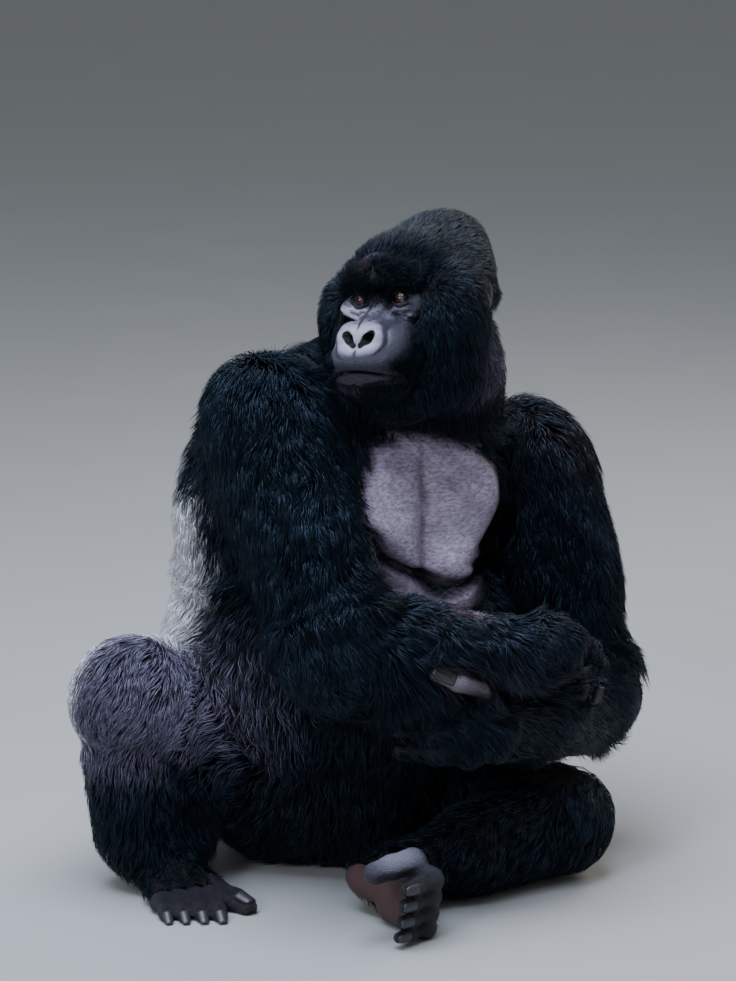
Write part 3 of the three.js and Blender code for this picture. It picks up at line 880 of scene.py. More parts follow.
class Features:
    """The small forms of face and breast, in millimetres of the head or trunk: left, forward, up."""

    MOUTH_SIDE = -8.0  # the mouth is drawn a little to the animal's right
    MOUTH_HALF = 65.0
    BREAST_SIDE = 8.0  # where the breast's middle furrow runs
    OPENING = rod([6.5, 195, -56], [24, 189, -39], 3.4, 6.8)
    CHANNEL = rod([17, 188, -46], [15, 160, -40], 7.5, 5.0)

    @classmethod
    def nostril(cls, m: Points) -> Points:
        """The distance to a nostril: a drop-shaped opening and a channel that leads back from it."""
        return joined(cls.OPENING.distance(m), cls.CHANNEL.distance(m), 5)

    @staticmethod
    def wing_crease(m: Points) -> Points:
        """The crease round the nose wings: 1 at its middle, in an arc of 31 mm round the wings' root."""
        off = np.abs(np.hypot(m[:, 0] - 16, (m[:, 2] + 45) * 0.9) - 31)
        return bell(off, 2.6) * rise(m[:, 0], 18, 30) * rise(m[:, 2], -84, -64)

    @classmethod
    def mouth_up(cls, x: Points) -> Points:
        """The height of the line between the lips, which sags to its corners, at x from its middle."""
        return -96.5 - 15.5 * (x / cls.MOUTH_HALF) ** 2

    @staticmethod
    def carve(q: Points, d: Points) -> Points:
        """Adds nose wings, bridge, lips and lids to the skin distance, then presses in what is open.

        Args:
            q: Places in the head's frame.
            d: Their distance to the plain skin.

        Returns:
            The distance with the features.
        """
        here = Frame(np.zeros(3), np.eye(3))
        m, mouth = mirrored(q), mirrored(q, Features.MOUTH_SIDE)  # the two sides are alike
        lips = [
            (rod([0, 195, -89], [30, 190, -92], 7, 7), 5),  # upper lip's edge
            (rod([30, 190, -92], [62, 164, -106], 7, 5), 5),
            (rod([0, 189, -106], [30, 183, -109], 6.5, 6), 6),  # lower lip's edge
            (rod([30, 183, -109], [60, 160, -117], 6, 4), 6),
        ]
        for form, fillet in lips:
            d = joined(d, form.distance(mouth), fillet)
        forms = [
            (Ball(here, (34, 171, -45), (18, 19, 21)), 7),  # wing of the nose
            (Ball(here, (0, 184, -46), (8, 12, 18)), 6),  # wall between the nostrils
            (rod([0, 112, 20], [0, 158, -22], 11, 12), 12),  # bridge
            (rod([9, 176, -26], [32, 172, -27], 7, 8), 7),  # nostril's upper rim
            (rod([9, 189, -69], [36, 182, -63], 7, 9), 7),  # nostril's lower rim
            (Ball(here, (EYE_SIDE, EYE_FORWARD, EYE_UP), (18.0, 16.6, 17.0)), 4),  # lids
            (Ball(here, (EYE_SIDE + 2, EYE_FORWARD - 4, EYE_UP - 17), (21, 15, 7)), 7),  # bag under the eye
            (rod([20, 118, 30], [58, 106, 29], 8, 7), 7),  # fold over the eye
        ]
        for form, fillet in forms:
            d = joined(d, form.distance(m), fillet)
        d = pressed_into(d, Features.nostril(m), 5)
        x, corner = m[:, 0], mouth[:, 0]
        seam = rise(q[:, 2], -20, -28) * rise(q[:, 2], -92, -86) * rise(q[:, 1], 150, 160)
        d = d + 1.5 * bell(x, 1.7) * seam
        gap = np.max([np.abs(q[:, 2] - Features.mouth_up(corner)) - 1.4, corner - Features.MOUTH_HALF,
                      118 - q[:, 1], -(d + 9)], axis=0)
        d = pressed_into(d, gap, 3.2)
        from_eye = np.hypot(m[:, 0] - EYE_SIDE, m[:, 2] - EYE_UP)
        for radius, height in ((27.0, 0.9), (35.0, 0.7)):  # rings under each eye
            d = d + height * bell(from_eye - radius, 2.2) * rise(m[:, 2], 4, -8) * rise(m[:, 1], 80, 100)
        d = d + 3.0 * Features.wing_crease(m)
        across = noise(q * [0.3, 0.4, 1.0], 4.5, 11) * rise(m[:, 1], 96, 116) * rise(q[:, 2], -34, -12)
        d = d + across * rise(q[:, 2], 34, 22) * rise(x, 70, 50)
        return Features.lids(m, d)

    @staticmethod
    def breast(t: Points) -> Points:
        """What the breast's middle furrow and lower folds add to the distance, in the trunk's frame.

        Args:
            t: Places in the trunk's frame.

        Returns:
            What each distance gains.
        """
        side, up = np.abs(t[:, 0] - Features.BREAST_SIDE), t[:, 2]
        over = up - Features.fold_up(t)
        furrow = 8.0 * bell(side, 12) * rise(over, -10, 20) * rise(up, 740, 690)
        fold = 13.0 * bell(over, 10) * rise(side, 175, 140)
        swell = 11.0 * bell(over - 40, 34) * bell(side - 70, 62)
        creases = 2.6 * noise(t * [0.2, 0.2, 1.0], 8.0, 13) * rise(over, 4, -14) * rise(up, 440, 460)
        return rise(t[:, 1], 150, 200) * (furrow + fold - swell + creases)

    @staticmethod
    def fold_up(t: Points) -> Points:
        """The height of the fold under the breast: highest on its right, lowest left of its middle."""
        return 508 + 0.0025 * (t[:, 0] - 92) ** 2

    @staticmethod
    def lids(m: Points, d: Points) -> Points:
        """Opens the lids: an almond in front of the eyeball, and a groove round both lids.

        Args:
            m: Places in the head's frame, mirrored to its left.
            d: Their distance to the skin.

        Returns:
            The distance with the lids open.
        """
        x, y, z = (m - np.array([EYE_SIDE, EYE_FORWARD, EYE_UP])).T
        high = np.where(z > 0.4, 8.4, 7.0) * np.sqrt(np.clip(1 - (x / 15.8) ** 2, 0, 1))
        opening = np.max([np.abs(z - 0.4 - 0.06 * x) - high, np.abs(x) - 15.2, 3.0 - y], axis=0)
        d = pressed_into(d, opening, 1.0)
        return d + 1.3 * bell(np.hypot(x, z * 1.15) - 17.5, 1.3) * (y > 0)


# ------------------------------------------------------------------ meshes

def mesh_object(name: str, places: Points, faces: Points, smooth: bool = True) -> bpy.types.Object:
    """A mesh object at the origin from places in millimetres and faces of one size.

    Args:
        name: The piece's name.
        places: Its vertices, in millimetres.
        faces: Vertex numbers, one face to a row.
        smooth: Whether its faces are shaded smooth.

    Returns:
        The object, linked to the scene.
    """
    mesh = bpy.data.meshes.new(name)
    count, size = faces.shape
    mesh.vertices.add(len(places))
    mesh.vertices.foreach_set("co", (places * METRES).astype(np.float32).ravel())
    mesh.loops.add(count * size)
    mesh.loops.foreach_set("vertex_index", faces.astype(np.int32).ravel())
    mesh.polygons.add(count)
    mesh.polygons.foreach_set("loop_start", np.arange(0, count * size, size, dtype=np.int32))
    mesh.polygons.foreach_set("use_smooth", np.full(count, smooth))
    mesh.update(calc_edges=True)
    piece = bpy.data.objects.new(name, mesh)
    bpy.context.scene.collection.objects.link(piece)
    return piece


def give(piece: bpy.types.Object, name: str, values: Points) -> None:
    """Stores three numbers for each vertex as a vector attribute."""
    attribute = piece.data.attributes.new(name, "FLOAT_VECTOR", "POINT")
    attribute.data.foreach_set("vector", values.astype(np.float32).ravel())


def settle(piece: bpy.types.Object, material: bpy.types.Material) -> bpy.types.Object:
    """Gives a piece its material and slot, and lets it ride on the body.

    Args:
        piece: The mesh object.
        material: The piece's finish.

    Returns:
        The piece.
    """
    piece.data.materials.append(material)
    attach(piece, "root")
    log.info("%s: %d faces", piece.name, len(piece.data.polygons))
    return piece


def halves(quads: Points) -> Points:
    """Quads cut into triangles: the first half of each, then the second."""
    return np.concatenate([quads[:, [0, 1, 2]], quads[:, [0, 2, 3]]])


def surface_net(inside_of: Callable[[Points], Points], low: Points, high: Points,
                cell: float) -> tuple[Points, Points]:
    """The zero surface of a distance: one vertex in each crossed cell, a quad round each crossed edge.

    Args:
        inside_of: The distance of each of many places, negative inside.
        low: Lowest corner of the box.
        high: Highest corner of the box.
        cell: Edge of the grid's cells.

    Returns:
        The vertices and the quads, wound outwards.
    """
    block = 4
    size = (np.ceil((high - low) / cell / block).astype(int) + 1) * block
    axes = [low[i] + cell * np.arange(size[i] + 1) for i in range(3)]
    coarse = np.stack(np.meshgrid(*[a[block // 2::block] for a in axes], indexing="ij"), -1)
    guess = inside_of(coarse.reshape(-1, 3)).reshape(coarse.shape[:3])
    wide = np.repeat(np.repeat(np.repeat(guess, block, 0), block, 1), block, 2)
    wide = np.pad(wide, [(0, 1)] * 3, mode="edge")[:size[0] + 1, :size[1] + 1, :size[2] + 1]
    value = np.where(wide < 0, -1.0, 1.0)
    near = np.argwhere(np.abs(wide) < cell * block * 1.4)
    value[tuple(near.T)] = inside_of(low + cell * near)
    inside = value < 0
    corners = sum(inside[i:i + size[0], j:j + size[1], k:k + size[2]].astype(np.int8)
                  for i in (0, 1) for j in (0, 1) for k in (0, 1))
    cells = np.argwhere((corners > 0) & (corners < 8))
    total, count = np.zeros((len(cells), 3)), np.zeros(len(cells))
    for axis in range(3):
        step, u, v = STEPS[axis], STEPS[axis - 2], STEPS[axis - 1]
        for p in (0, 1):
            for q in (0, 1):
                a = cells + p * u + q * v
                va, vb = value[tuple(a.T)], value[tuple((a + step).T)]
                cross = (va < 0) != (vb < 0)
                t = np.where(cross, va / np.where(cross, va - vb, 1.0), 0.0)
                total += np.where(cross[:, None], a + t[:, None] * step, 0.0)
                count += cross
    number = np.full(size, -1)
    number[tuple(cells.T)] = np.arange(len(cells))
    quads = []
    for axis in range(3):
        step, u, v = STEPS[axis], STEPS[axis - 2], STEPS[axis - 1]
        here = inside[:size[0], :size[1], :size[2]]
        there = inside[step[0]:size[0] + step[0], step[1]:size[1] + step[1], step[2]:size[2] + step[2]]
        edge = np.argwhere(here != there)
        edge = edge[(edge >= u + v).all(axis=1) & (edge < size).all(axis=1)]
        ring = np.stack([number[tuple((edge - s).T)] for s in (0 * u, u, u + v, v)], axis=1)
        out = here[tuple(edge.T)]
        quads.append(np.where(out[:, None], ring, ring[:, ::-1]))
    return low + cell * total / count[:, None], np.concatenate(quads)


def split_long(places: Points, tris: Points, aim: Callable[[Points], Points],
               slack: float = 1.45) -> tuple[Points, Points]:
    """Halves the edges that are longer than a slack times their aim, and cuts the triangles to match.

    Args:
        places: Vertices.
        tris: Triangles.
        aim: The wished edge length at each of many places.
        slack: How many times its aim an edge may be long.

    Returns:
        The new vertices and triangles, still closed.
    """
    edges = np.sort(tris[:, [[0, 1], [1, 2], [2, 0]]], axis=-1).reshape(-1, 2)
    code, back = np.unique(edges[:, 0] * np.int64(len(places)) + edges[:, 1], return_inverse=True)
    a, b = code // len(places), code % len(places)
    middle = (places[a] + places[b]) / 2
    long = np.linalg.norm(places[a] - places[b], axis=1) > slack * aim(middle)
    number = np.full(len(code), -1)
    number[long] = len(places) + np.arange(long.sum())
    m = number[back.reshape(-1)].reshape(-1, 3)
    marks = (m >= 0).sum(axis=1)
    one, two = np.argmax(m >= 0, axis=1), (np.argmax(m < 0, axis=1) + 1) % 3
    first = np.where(marks == 1, one, np.where(marks == 2, two, 0))
    turn = (first[:, None] + np.arange(3)) % 3
    t, m = np.take_along_axis(tris, turn, 1), np.take_along_axis(m, turn, 1)
    (x, y, z), (p, q, r) = t.T, m.T
    cuts = {
        0: [(x, y, z)],
        1: [(x, p, z), (p, y, z)],
        2: [(x, p, z), (p, q, z), (p, y, q)],
        3: [(x, p, r), (p, y, q), (r, q, z), (p, q, r)],
    }
    new = [np.stack(c, axis=1)[marks == k] for k, rows in cuts.items() for c in rows]
    return np.concatenate([places, middle[long]]), np.concatenate(new)


def main_shell(places: Points, faces: Points) -> tuple[Points, Points]:
    """Keeps the largest connected shell, found by passing the lowest vertex number along faces.

    Args:
        places: Vertices.
        faces: Faces.

    Returns:
        Its vertices and faces.
    """
    label = np.arange(len(places))
    while True:
        new = label.copy()
        np.minimum.at(new, faces.ravel(), np.repeat(label[faces].min(axis=1), faces.shape[1]))
        new = new[new]
        if (new == label).all():
            break
        label = new
    keep = label == np.bincount(label).argmax()
    number = np.cumsum(keep) - 1
    return places[keep], number[faces[keep[faces[:, 0]]]]


def relax(places: Points, tris: Points, share: float) -> Points:
    """Moves each vertex a share of the way to the mean of its neighbours.

    Args:
        places: Vertices.
        tris: Triangles.
        share: 0 for no move, 1 for all the way.

    Returns:
        The new places of the vertices.
    """
    edges = tris[:, [[0, 1], [1, 2], [2, 0]]].reshape(-1, 2)
    ends = np.concatenate([edges, edges[:, ::-1]])
    count = np.bincount(ends[:, 0], minlength=len(places))[:, None]
    sums = np.stack([np.bincount(ends[:, 0], places[ends[:, 1], i], len(places)) for i in range(3)], axis=1)
    return places + share * (sums / count - places)


# ------------------------------------------------------------------ the skin

@dataclass
class Skin:
    """One closed skin over the whole body, finest at the eyes, nose and mouth."""

    anatomy: Anatomy
    cell: float = 9.5  # of the grid that it starts from
    rounds: int = 4
    low: tuple[float, float, float] = (-480, -575, -20)  # the grid's corners
    high: tuple[float, float, float] = (545, 265, 1145)
    coarse: float = 99.0
    places: Points = field(init=False)
    tris: Points = field(init=False)

    def aim(self, p: Points) -> Points:
        """The wished edge length: fine near what shows bare, coarse under the coat.

        Args:
            p: Places.

        Returns:
            One length for each, in millimetres.
        """
        m = mirrored(HEAD.local(p))
        aim = np.full(len(p), self.coarse)
        for middle, radius, size in (
            ([0, 130, -50], 120, 4.0), ([0, 150, -60], 86, 2.6), ([126, 10, 5], 40, 2.6),
            ([EYE_SIDE, 124, EYE_UP], 25, 1.3), ([18, 172, -44], 28, 1.6), ([30, 176, -102], 46, 1.9),
        ):
            aim = np.where(np.linalg.norm(m - middle, axis=1) < radius, np.minimum(aim, size), aim)
        for frame in PAWS.values():
            near = np.linalg.norm(frame.local(p) - [75, 8, 0], axis=1) < 130
            aim = np.where(near, np.minimum(aim, 4.4), aim)
        return np.where(Markings.breast(p) > 0.2, np.minimum(aim, 7.0), aim)

    def settle_on_zero(self, places: Points, times: int, reach: float) -> Points:
        """Slides vertices down the slope on to the skin's zero, by under a reach each time.

        Args:
            places: Vertices.
            times: How many slides.
            reach: The furthest that one slide goes.

        Returns:
            The new places of the vertices.
        """
        for _ in range(times):
            d, slope = self.anatomy.slope(places, 0.5)
            places = places - slope * np.clip(d, -reach, reach)[:, None]
        return places

    def build(self) -> None:
        """Wraps the skin, drops its inner shells, then refines and settles it in rounds."""
        low, high = np.array(self.low, float), np.array(self.high, float)
        places, quads = main_shell(*surface_net(self.anatomy.skin, low, high, self.cell))
        tris = halves(quads)
        places = self.settle_on_zero(relax(places, tris, 0.5), 2, 4.0)
        for turn in range(self.rounds):
            count = len(places)
            places, tris = split_long(places, tris, self.aim)
            if len(places) == count:
                break
            fine = self.aim(places) < self.coarse
            smooth = relax(places, tris, 0.45)
            places[fine] = self.settle_on_zero(smooth[fine], 2, 3.0 / (turn + 1))
        self.places, self.tris = places, tris

    def dress(self, material: bpy.types.Material) -> bpy.types.Object:
        """Makes the piece, with its markings and its painted light and shade as attributes.

        Args:
            material: The skin's finish.

        Returns:
            The piece, which stands for every node of flesh.
        """
        piece = mesh_object("skin", self.places, self.tris)
        bare = self.anatomy.bare(self.places, self.anatomy.shares(self.anatomy.distances(self.places)))
        give(piece, "bare_marks_and_painted_light", Markings.skin(self.places, bare))
        give(piece, "coat_marks_and_painted_light", Markings.coat(self.places))
        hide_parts(*self.anatomy.names)
        return settle(piece, material)


# ------------------------------------------------------------------ the coat

@dataclass(frozen=True)
class Fleece:
    """A piece of the coat: the sub-parts it covers, and how many strands."""

    name: str
    parts: tuple[str, ...]
    strands: int


FLEECES = (
    Fleece("coat_head", ("head",), 19800),
    Fleece("coat_face", ("face", "ear_left", "ear_right"), 9000),
    Fleece("coat_neck", ("neck",), 9500),
    Fleece("coat_chest", ("chest",), 14500),
    Fleece("coat_belly", ("belly",), 15000),
    Fleece("coat_upper_arm_right", ("upper_arm_right",), 17500),
    Fleece("coat_forearm_right", ("forearm_right", "hand_right"), 15000),
    Fleece("coat_upper_arm_left", ("upper_arm_left",), 12500),
    Fleece("coat_forearm_left", ("forearm_left", "hand_left"), 14500),
    Fleece("coat_leg_right", ("thigh_right", "shank_right", "foot_right"), 14500),
    Fleece("coat_leg_left", ("thigh_left", "shank_left", "foot_left"), 9500),
)


@dataclass
class Coat:
    """The coat as closed, tapered strands that are walked over the skin from their roots."""

    anatomy: Anatomy
    skin: Skin
    taper: tuple[float, ...] = (0.75, 1.0)  # share of the width at each ring, before the pointed tip
    clump: int = 11  # strands drawn towards one tuft
    patch: float = 0.003  # size of a strand's place on the unwrap
    clear: float = 62.0  # no hair grows where another limb lies this close

    def roots(self, fleece: Fleece, rng: np.random.Generator) -> tuple[Points, Points, Points]:
        """Scatters roots over the skin of a fleece's parts, none where it is bare or hidden.

        Args:
            fleece: Which piece.
            rng: The seeded source of chance.

        Returns:
            The places of the roots, each part's share of them, and the number of their main part.
        """
        places, tris = self.skin.places, self.skin.tris
        corners = places[tris]
        middle = corners.mean(axis=1)
        rows = self.anatomy.distances(middle)
        main = rows.argmin(axis=0)
        wanted = np.isin(main, [self.anatomy.names.index(n) for n in fleece.parts])
        normal = np.cross(corners[:, 1] - corners[:, 0], corners[:, 2] - corners[:, 0])
        area = np.linalg.norm(normal, axis=1) / 2
        ahead = self.anatomy.outer(self.anatomy.distances(middle + unit(normal) * self.clear))
        open_air = rise(ahead, -8, 12) * 0.93 + 0.07
        floor = rise(middle[:, 2], 4, 30) * 0.9 + 0.1
        furred = 1 - 1.25 * self.anatomy.bare(middle, self.anatomy.shares(rows))
        chance = area * wanted * open_air * floor * np.clip(furred, 0, 1)
        pick = rng.choice(len(tris), fleece.strands, p=chance / chance.sum())
        a, b = rng.random((2, fleece.strands, 1))
        over = (a + b) > 1
        a, b = np.where(over, 1 - a, a), np.where(over, 1 - b, b)
        c = corners[pick]
        roots = c[:, 0] + a * (c[:, 1] - c[:, 0]) + b * (c[:, 2] - c[:, 0])
        return roots, self.anatomy.shares(self.anatomy.distances(roots)), main[pick]

    def walk(self, roots: Points, shares: Points, length: Points, depth: Points,
             rng: np.random.Generator) -> tuple[list[Points], list[Points]]:
        """Walks every strand over the skin: along the lie, at a height that rises and then levels out.

        The height at share s of the length is the coat's depth times sin(pi s / 2)^0.8, more under the
        body, where hair hangs, and each strand has its own sway and lift.

        Args:
            roots: Places of the roots.
            shares: Each part's share of them.
            length: Each strand's length.
            depth: The coat's depth at each root.
            rng: The seeded source of chance.

        Returns:
            The places along the strands, and the skin's slope there.
        """
        count, segments = len(roots), len(self.taper)
        _, slope = self.anatomy.slope(roots, 2.0)
        lift = rng.uniform(0.7, 1.1, count) * (1 + 0.35 * np.clip(-slope[:, 2], 0, 1))
        swirl = 0.3 * rise(length, 20, 60)[:, None]
        eddy = np.stack([noise(roots, 30, seed) for seed in (21, 22, 23)], axis=1)
        sway = rng.normal(0, 0.1, (count, 3)) + swirl * eddy
        path, slopes = [roots - 1.5 * slope], [slope]
        way = self.anatomy.lie(roots, shares)
        for k in range(1, segments + 1):
            way = unit(unit(way) + sway)
            way = unit(way - slope * (way * slope).sum(axis=1, keepdims=True) * 0.95)
            here = path[-1] + way * (length / segments)[:, None]
            here = here + slope * (depth * lift / segments)[:, None]
            d, slope = self.anatomy.slope(here, 2.0)
            height = depth * lift * math.sin(math.pi / 2 * k / segments) ** 0.8
            reach = 0.6 * length / segments
            here = here + slope * np.clip(height - d, -reach, reach)[:, None]
            here[:, 2] = np.maximum(here[:, 2], FLOOR_GAP)
            path.append(here)
            slopes.append(slope)
            way = here - path[-2] + 0.25 * length[:, None] / segments * DOWN
        return path, slopes

    def gather(self, path: list[Points], rng: np.random.Generator) -> Points:
        """Draws strands towards the tip of the nearest leading strand, and returns the leader's number.

        Args:
            path: Places along the strands, which are moved.
            rng: The seeded source of chance.

        Returns:
            For each strand, the number of its leader.
        """
        count = len(path[0])
        leaders = rng.choice(count, max(count // self.clump, 1), replace=False)
        lead = path[0][leaders]
        nearest = np.concatenate([
            ((lead ** 2).sum(1) - 2 * chunk @ lead.T).argmin(axis=1)
            for chunk in np.array_split(path[0], max(count // 2000, 1))
        ])
        pull = rng.uniform(0.25, 0.75, (count, 1))
        for k in range(1, len(path)):
            share = pull * (k / (len(path) - 1)) ** 1.3
            path[k] = path[k] + share * (path[k][leaders][nearest] - path[k]) * 0.8
        return nearest

    def tubes(self, path: list[Points], slopes: list[Points], width: Points,
              roll: Points) -> tuple[Points, Points, Points, Points]:
        """Closed three-sided strands: a ring at each place but the last, and a pointed tip.

        A ring's corners are the middle less and plus half the width sideways, and the middle plus 0.4 of
        the width outwards, turned by the strand's roll.

        Args:
            path: Places along the strands.
            slopes: The skin's slope there.
            width: Each strand's greatest width.
            roll: How far each strand is turned about itself, in radians.

        Returns:
            Places, faces, how far each vertex is along its strand, and how far across.
        """
        rings, n = len(path) - 1, len(path[0])
        rows, along, across = [], [], []
        for k in range(rings):
            way = unit(path[k + 1] - path[max(k - 1, 0)])
            side = unit(np.cross(way, slopes[k]))
            up = np.cross(side, way)
            c, s = np.cos(roll)[:, None], np.sin(roll)[:, None]
            side, up = side * c + up * s, up * c - side * s
            w = (width * self.taper[k])[:, None]
            rows += [path[k] - side * w / 2, path[k] + up * w * 0.4, path[k] + side * w / 2]
            along += [k / rings] * 3
            across += [-0.5, 0.0, 0.5]
        places = np.stack(rows + [path[-1]], axis=1)
        per = 3 * rings + 1
        faces = [(0, 2, 1)]
        for k in range(rings - 1):
            for i in range(3):
                a, b = 3 * k + i, 3 * k + (i + 1) % 3
                faces += [(a, b, b + 3), (a, b + 3, a + 3)]
        last = 3 * (rings - 1)
        faces += [(last + i, last + (i + 1) % 3, per - 1) for i in range(3)]
        flat = np.array(faces)
        a, b, c = (places[:, flat[:, i]] - places.mean(axis=1)[:, None] for i in range(3))
        if (a * np.cross(b, c)).sum() < 0:  # six times the volume of all the strands
            flat = flat[:, ::-1]
        every = (np.arange(n)[:, None, None] * per + flat).reshape(-1, 3)
        return places.reshape(-1, 3), every, np.tile(along + [1.0], n), np.tile(across + [0.0], n)

    def grow(self, fleece: Fleece, material: bpy.types.Material, seed: int) -> bpy.types.Object:
        """Grows one piece of the coat.

        Args:
            fleece: Which piece.
            material: The coat's finish.
            seed: Its seed.

        Returns:
            The piece.
        """
        rng = np.random.default_rng(seed)
        roots, shares, main = self.roots(fleece, rng)
        hairs = [part.hair for part in self.anatomy.parts.values()]
        bare = self.anatomy.bare(roots, shares)
        short = 1 - 0.75 * np.clip(bare * 1.6, 0, 1)
        length = np.array([h.length for h in hairs]) @ shares * short * rng.uniform(0.65, 1.15, len(roots))
        beard = Markings.oval(HEAD.local(roots), [0, 150, -146], [80, 80, 24], 0.4)
        length = length * (1 + 1.6 * beard)
        width = np.array([h.width for h in hairs]) @ shares * (0.5 + 0.5 * short)
        width = width * rng.uniform(0.7, 1.2, len(roots))
        depth = np.maximum(self.anatomy.depth(roots, shares), 1.5)
        path, slopes = self.walk(roots, shares, length, depth, rng)
        leader = self.gather(path, rng)
        places, faces, along, across = self.tubes(path, slopes, width, rng.normal(0, 0.5, len(roots)))
        piece = mesh_object(fleece.name, places, faces)
        per = len(places) // len(roots)
        marks = Markings.coat(roots)
        chance = rng.random((len(roots), 1))
        salted = np.clip(marks * 2.0 - chance, 0, 1) * (marks > 0.02)
        tuft = rng.random(leader.max() + 1)[leader]
        shade = np.clip(0.55 * tuft + 0.45 * rng.random(len(roots)), 0, 1)
        brow = Markings.oval(HEAD.local(roots), [0, 90, 50], [100, 80, 44], 0.4)
        shade = shade * (0.35 + 0.65 * rise(length, 8, 34)) * (1 - 0.6 * brow)
        give(piece, "coat_marks_and_painted_light", np.repeat(salted, per, axis=0))
        give(piece, "strand", np.stack([np.repeat(shade, per), along, across + 0.5], axis=1))
        self.unroll(piece, fleece, roots, main, faces, along, across, per)
        return settle(piece, material)

    def unroll(self, piece: bpy.types.Object, fleece: Fleece, roots: Points, main: Points, faces: Points,
               along: Points, across: Points, per: int) -> None:
        """Gives the piece its bake map: each strand a small patch at its root's place on the unwrap.

        Args:
            piece: The piece of coat.
            fleece: Which it is.
            roots: The strands' roots.
            main: The number of each root's main part.
            faces: The piece's faces.
            along: How far each vertex is along its strand.
            across: And how far across.
            per: Vertices to a strand.
        """
        uv, columns = np.zeros((len(roots), 2)), len(fleece.parts)
        for column, name in enumerate(fleece.parts):
            own = main == self.anatomy.names.index(name)
            place = self.anatomy.parts[name].unwrap(roots[own]) * 0.94 + 0.03
            uv[own] = place * [1 / columns, 1] + [column / columns, 0]
        uv = np.repeat(uv, per, axis=0) + self.patch * np.stack([across, along - 0.5], axis=1)
        layer = piece.data.uv_layers.new(name="OFBake")
        layer.data.foreach_set("uv", uv[faces.ravel()].astype(np.float32).ravel())


# ------------------------------------------------------------------ eyes and nails

def grid_faces(rows: int, columns: int, wrap: bool) -> Points:
    """Quads of a grid of vertices, row by row, closed round its columns where wrap is true.

    Args:
        rows: Rows of vertices.
        columns: Vertices in a row.
        wrap: Whether a row's last vertex joins its first.

    Returns:
        The quads.
    """
    r, c = np.meshgrid(np.arange(rows - 1), np.arange(columns if wrap else columns - 1), indexing="ij")
    r, c = r.ravel(), c.ravel()
    d = (c + 1) % columns
    return np.stack([r * columns + c, r * columns + d, (r + 1) * columns + d, (r + 1) * columns + c], axis=1)


@dataclass
class Eye:
    """An eyeball whose cornea bulges, looking a little to the animal's right."""

    name: str
    side: int
    gaze: tuple[float, float, float] = (-0.4, 1.0, 0.03)
    radius: float = EYE_RADIUS - 0.6
    bulge: float = 1.3
    bulge_angle: float = 0.62
    rings: int = 40
    around: int = 48

    def middle(self) -> Points:
        """The eyeball's middle."""
        return HEAD.at(self.side * EYE_SIDE, EYE_FORWARD, EYE_UP)

    def dress(self, material: bpy.types.Material) -> bpy.types.Object:
        """Builds it: at angle a from the gaze, the radius is 13.4 mm plus a bulge of 1.3 exp(-(a / 0.62)^2).

        Args:
            material: The eye's finish.

        Returns:
            The piece, which stands for the node of its name.
        """
        gaze = unit(np.array(self.gaze)) @ HEAD.axes
        side = unit(np.cross(gaze, [0, 0, 1]))
        up = np.cross(side, gaze)
        a = np.linspace(0, math.pi, self.rings)[:, None]
        b = np.linspace(0, 2 * math.pi, self.around, endpoint=False)[None]
        radius = self.radius + self.bulge * bell(a, self.bulge_angle) + 0 * b
        place = (np.cos(a)[..., None] * gaze + np.sin(a)[..., None]
                 * (np.cos(b)[..., None] * side + np.sin(b)[..., None] * up)) * radius[..., None]
        inner = place[1:-1].reshape(-1, 3)
        places = np.concatenate([inner, place[0, :1], place[-1, :1]]) + self.middle()
        tris = halves(grid_faces(self.rings - 2, self.around, True))
        first, last, c = len(inner), len(inner) + 1, np.arange(self.around)
        row, beyond = (self.rings - 3) * self.around, (c + 1) % self.around
        tris = np.concatenate([tris, np.stack([first + 0 * c, beyond, c], axis=1),
                               np.stack([row + c, row + beyond, last + 0 * c], axis=1)])
        spokes = places - self.middle()
        a, b, c = spokes[tris].transpose(1, 0, 2)
        if (a * np.cross(b, c)).sum() < 0:
            tris = tris[:, ::-1]
        piece = mesh_object(self.name + "_ball", places, tris)
        angle = np.arccos(np.clip(unit(spokes) @ gaze, -1, 1))
        turn = np.arctan2(spokes @ up, spokes @ side)
        give(piece, "iris", np.stack([angle, np.cos(turn), np.sin(turn)], axis=1))
        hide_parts(self.name)
        return settle(piece, material)


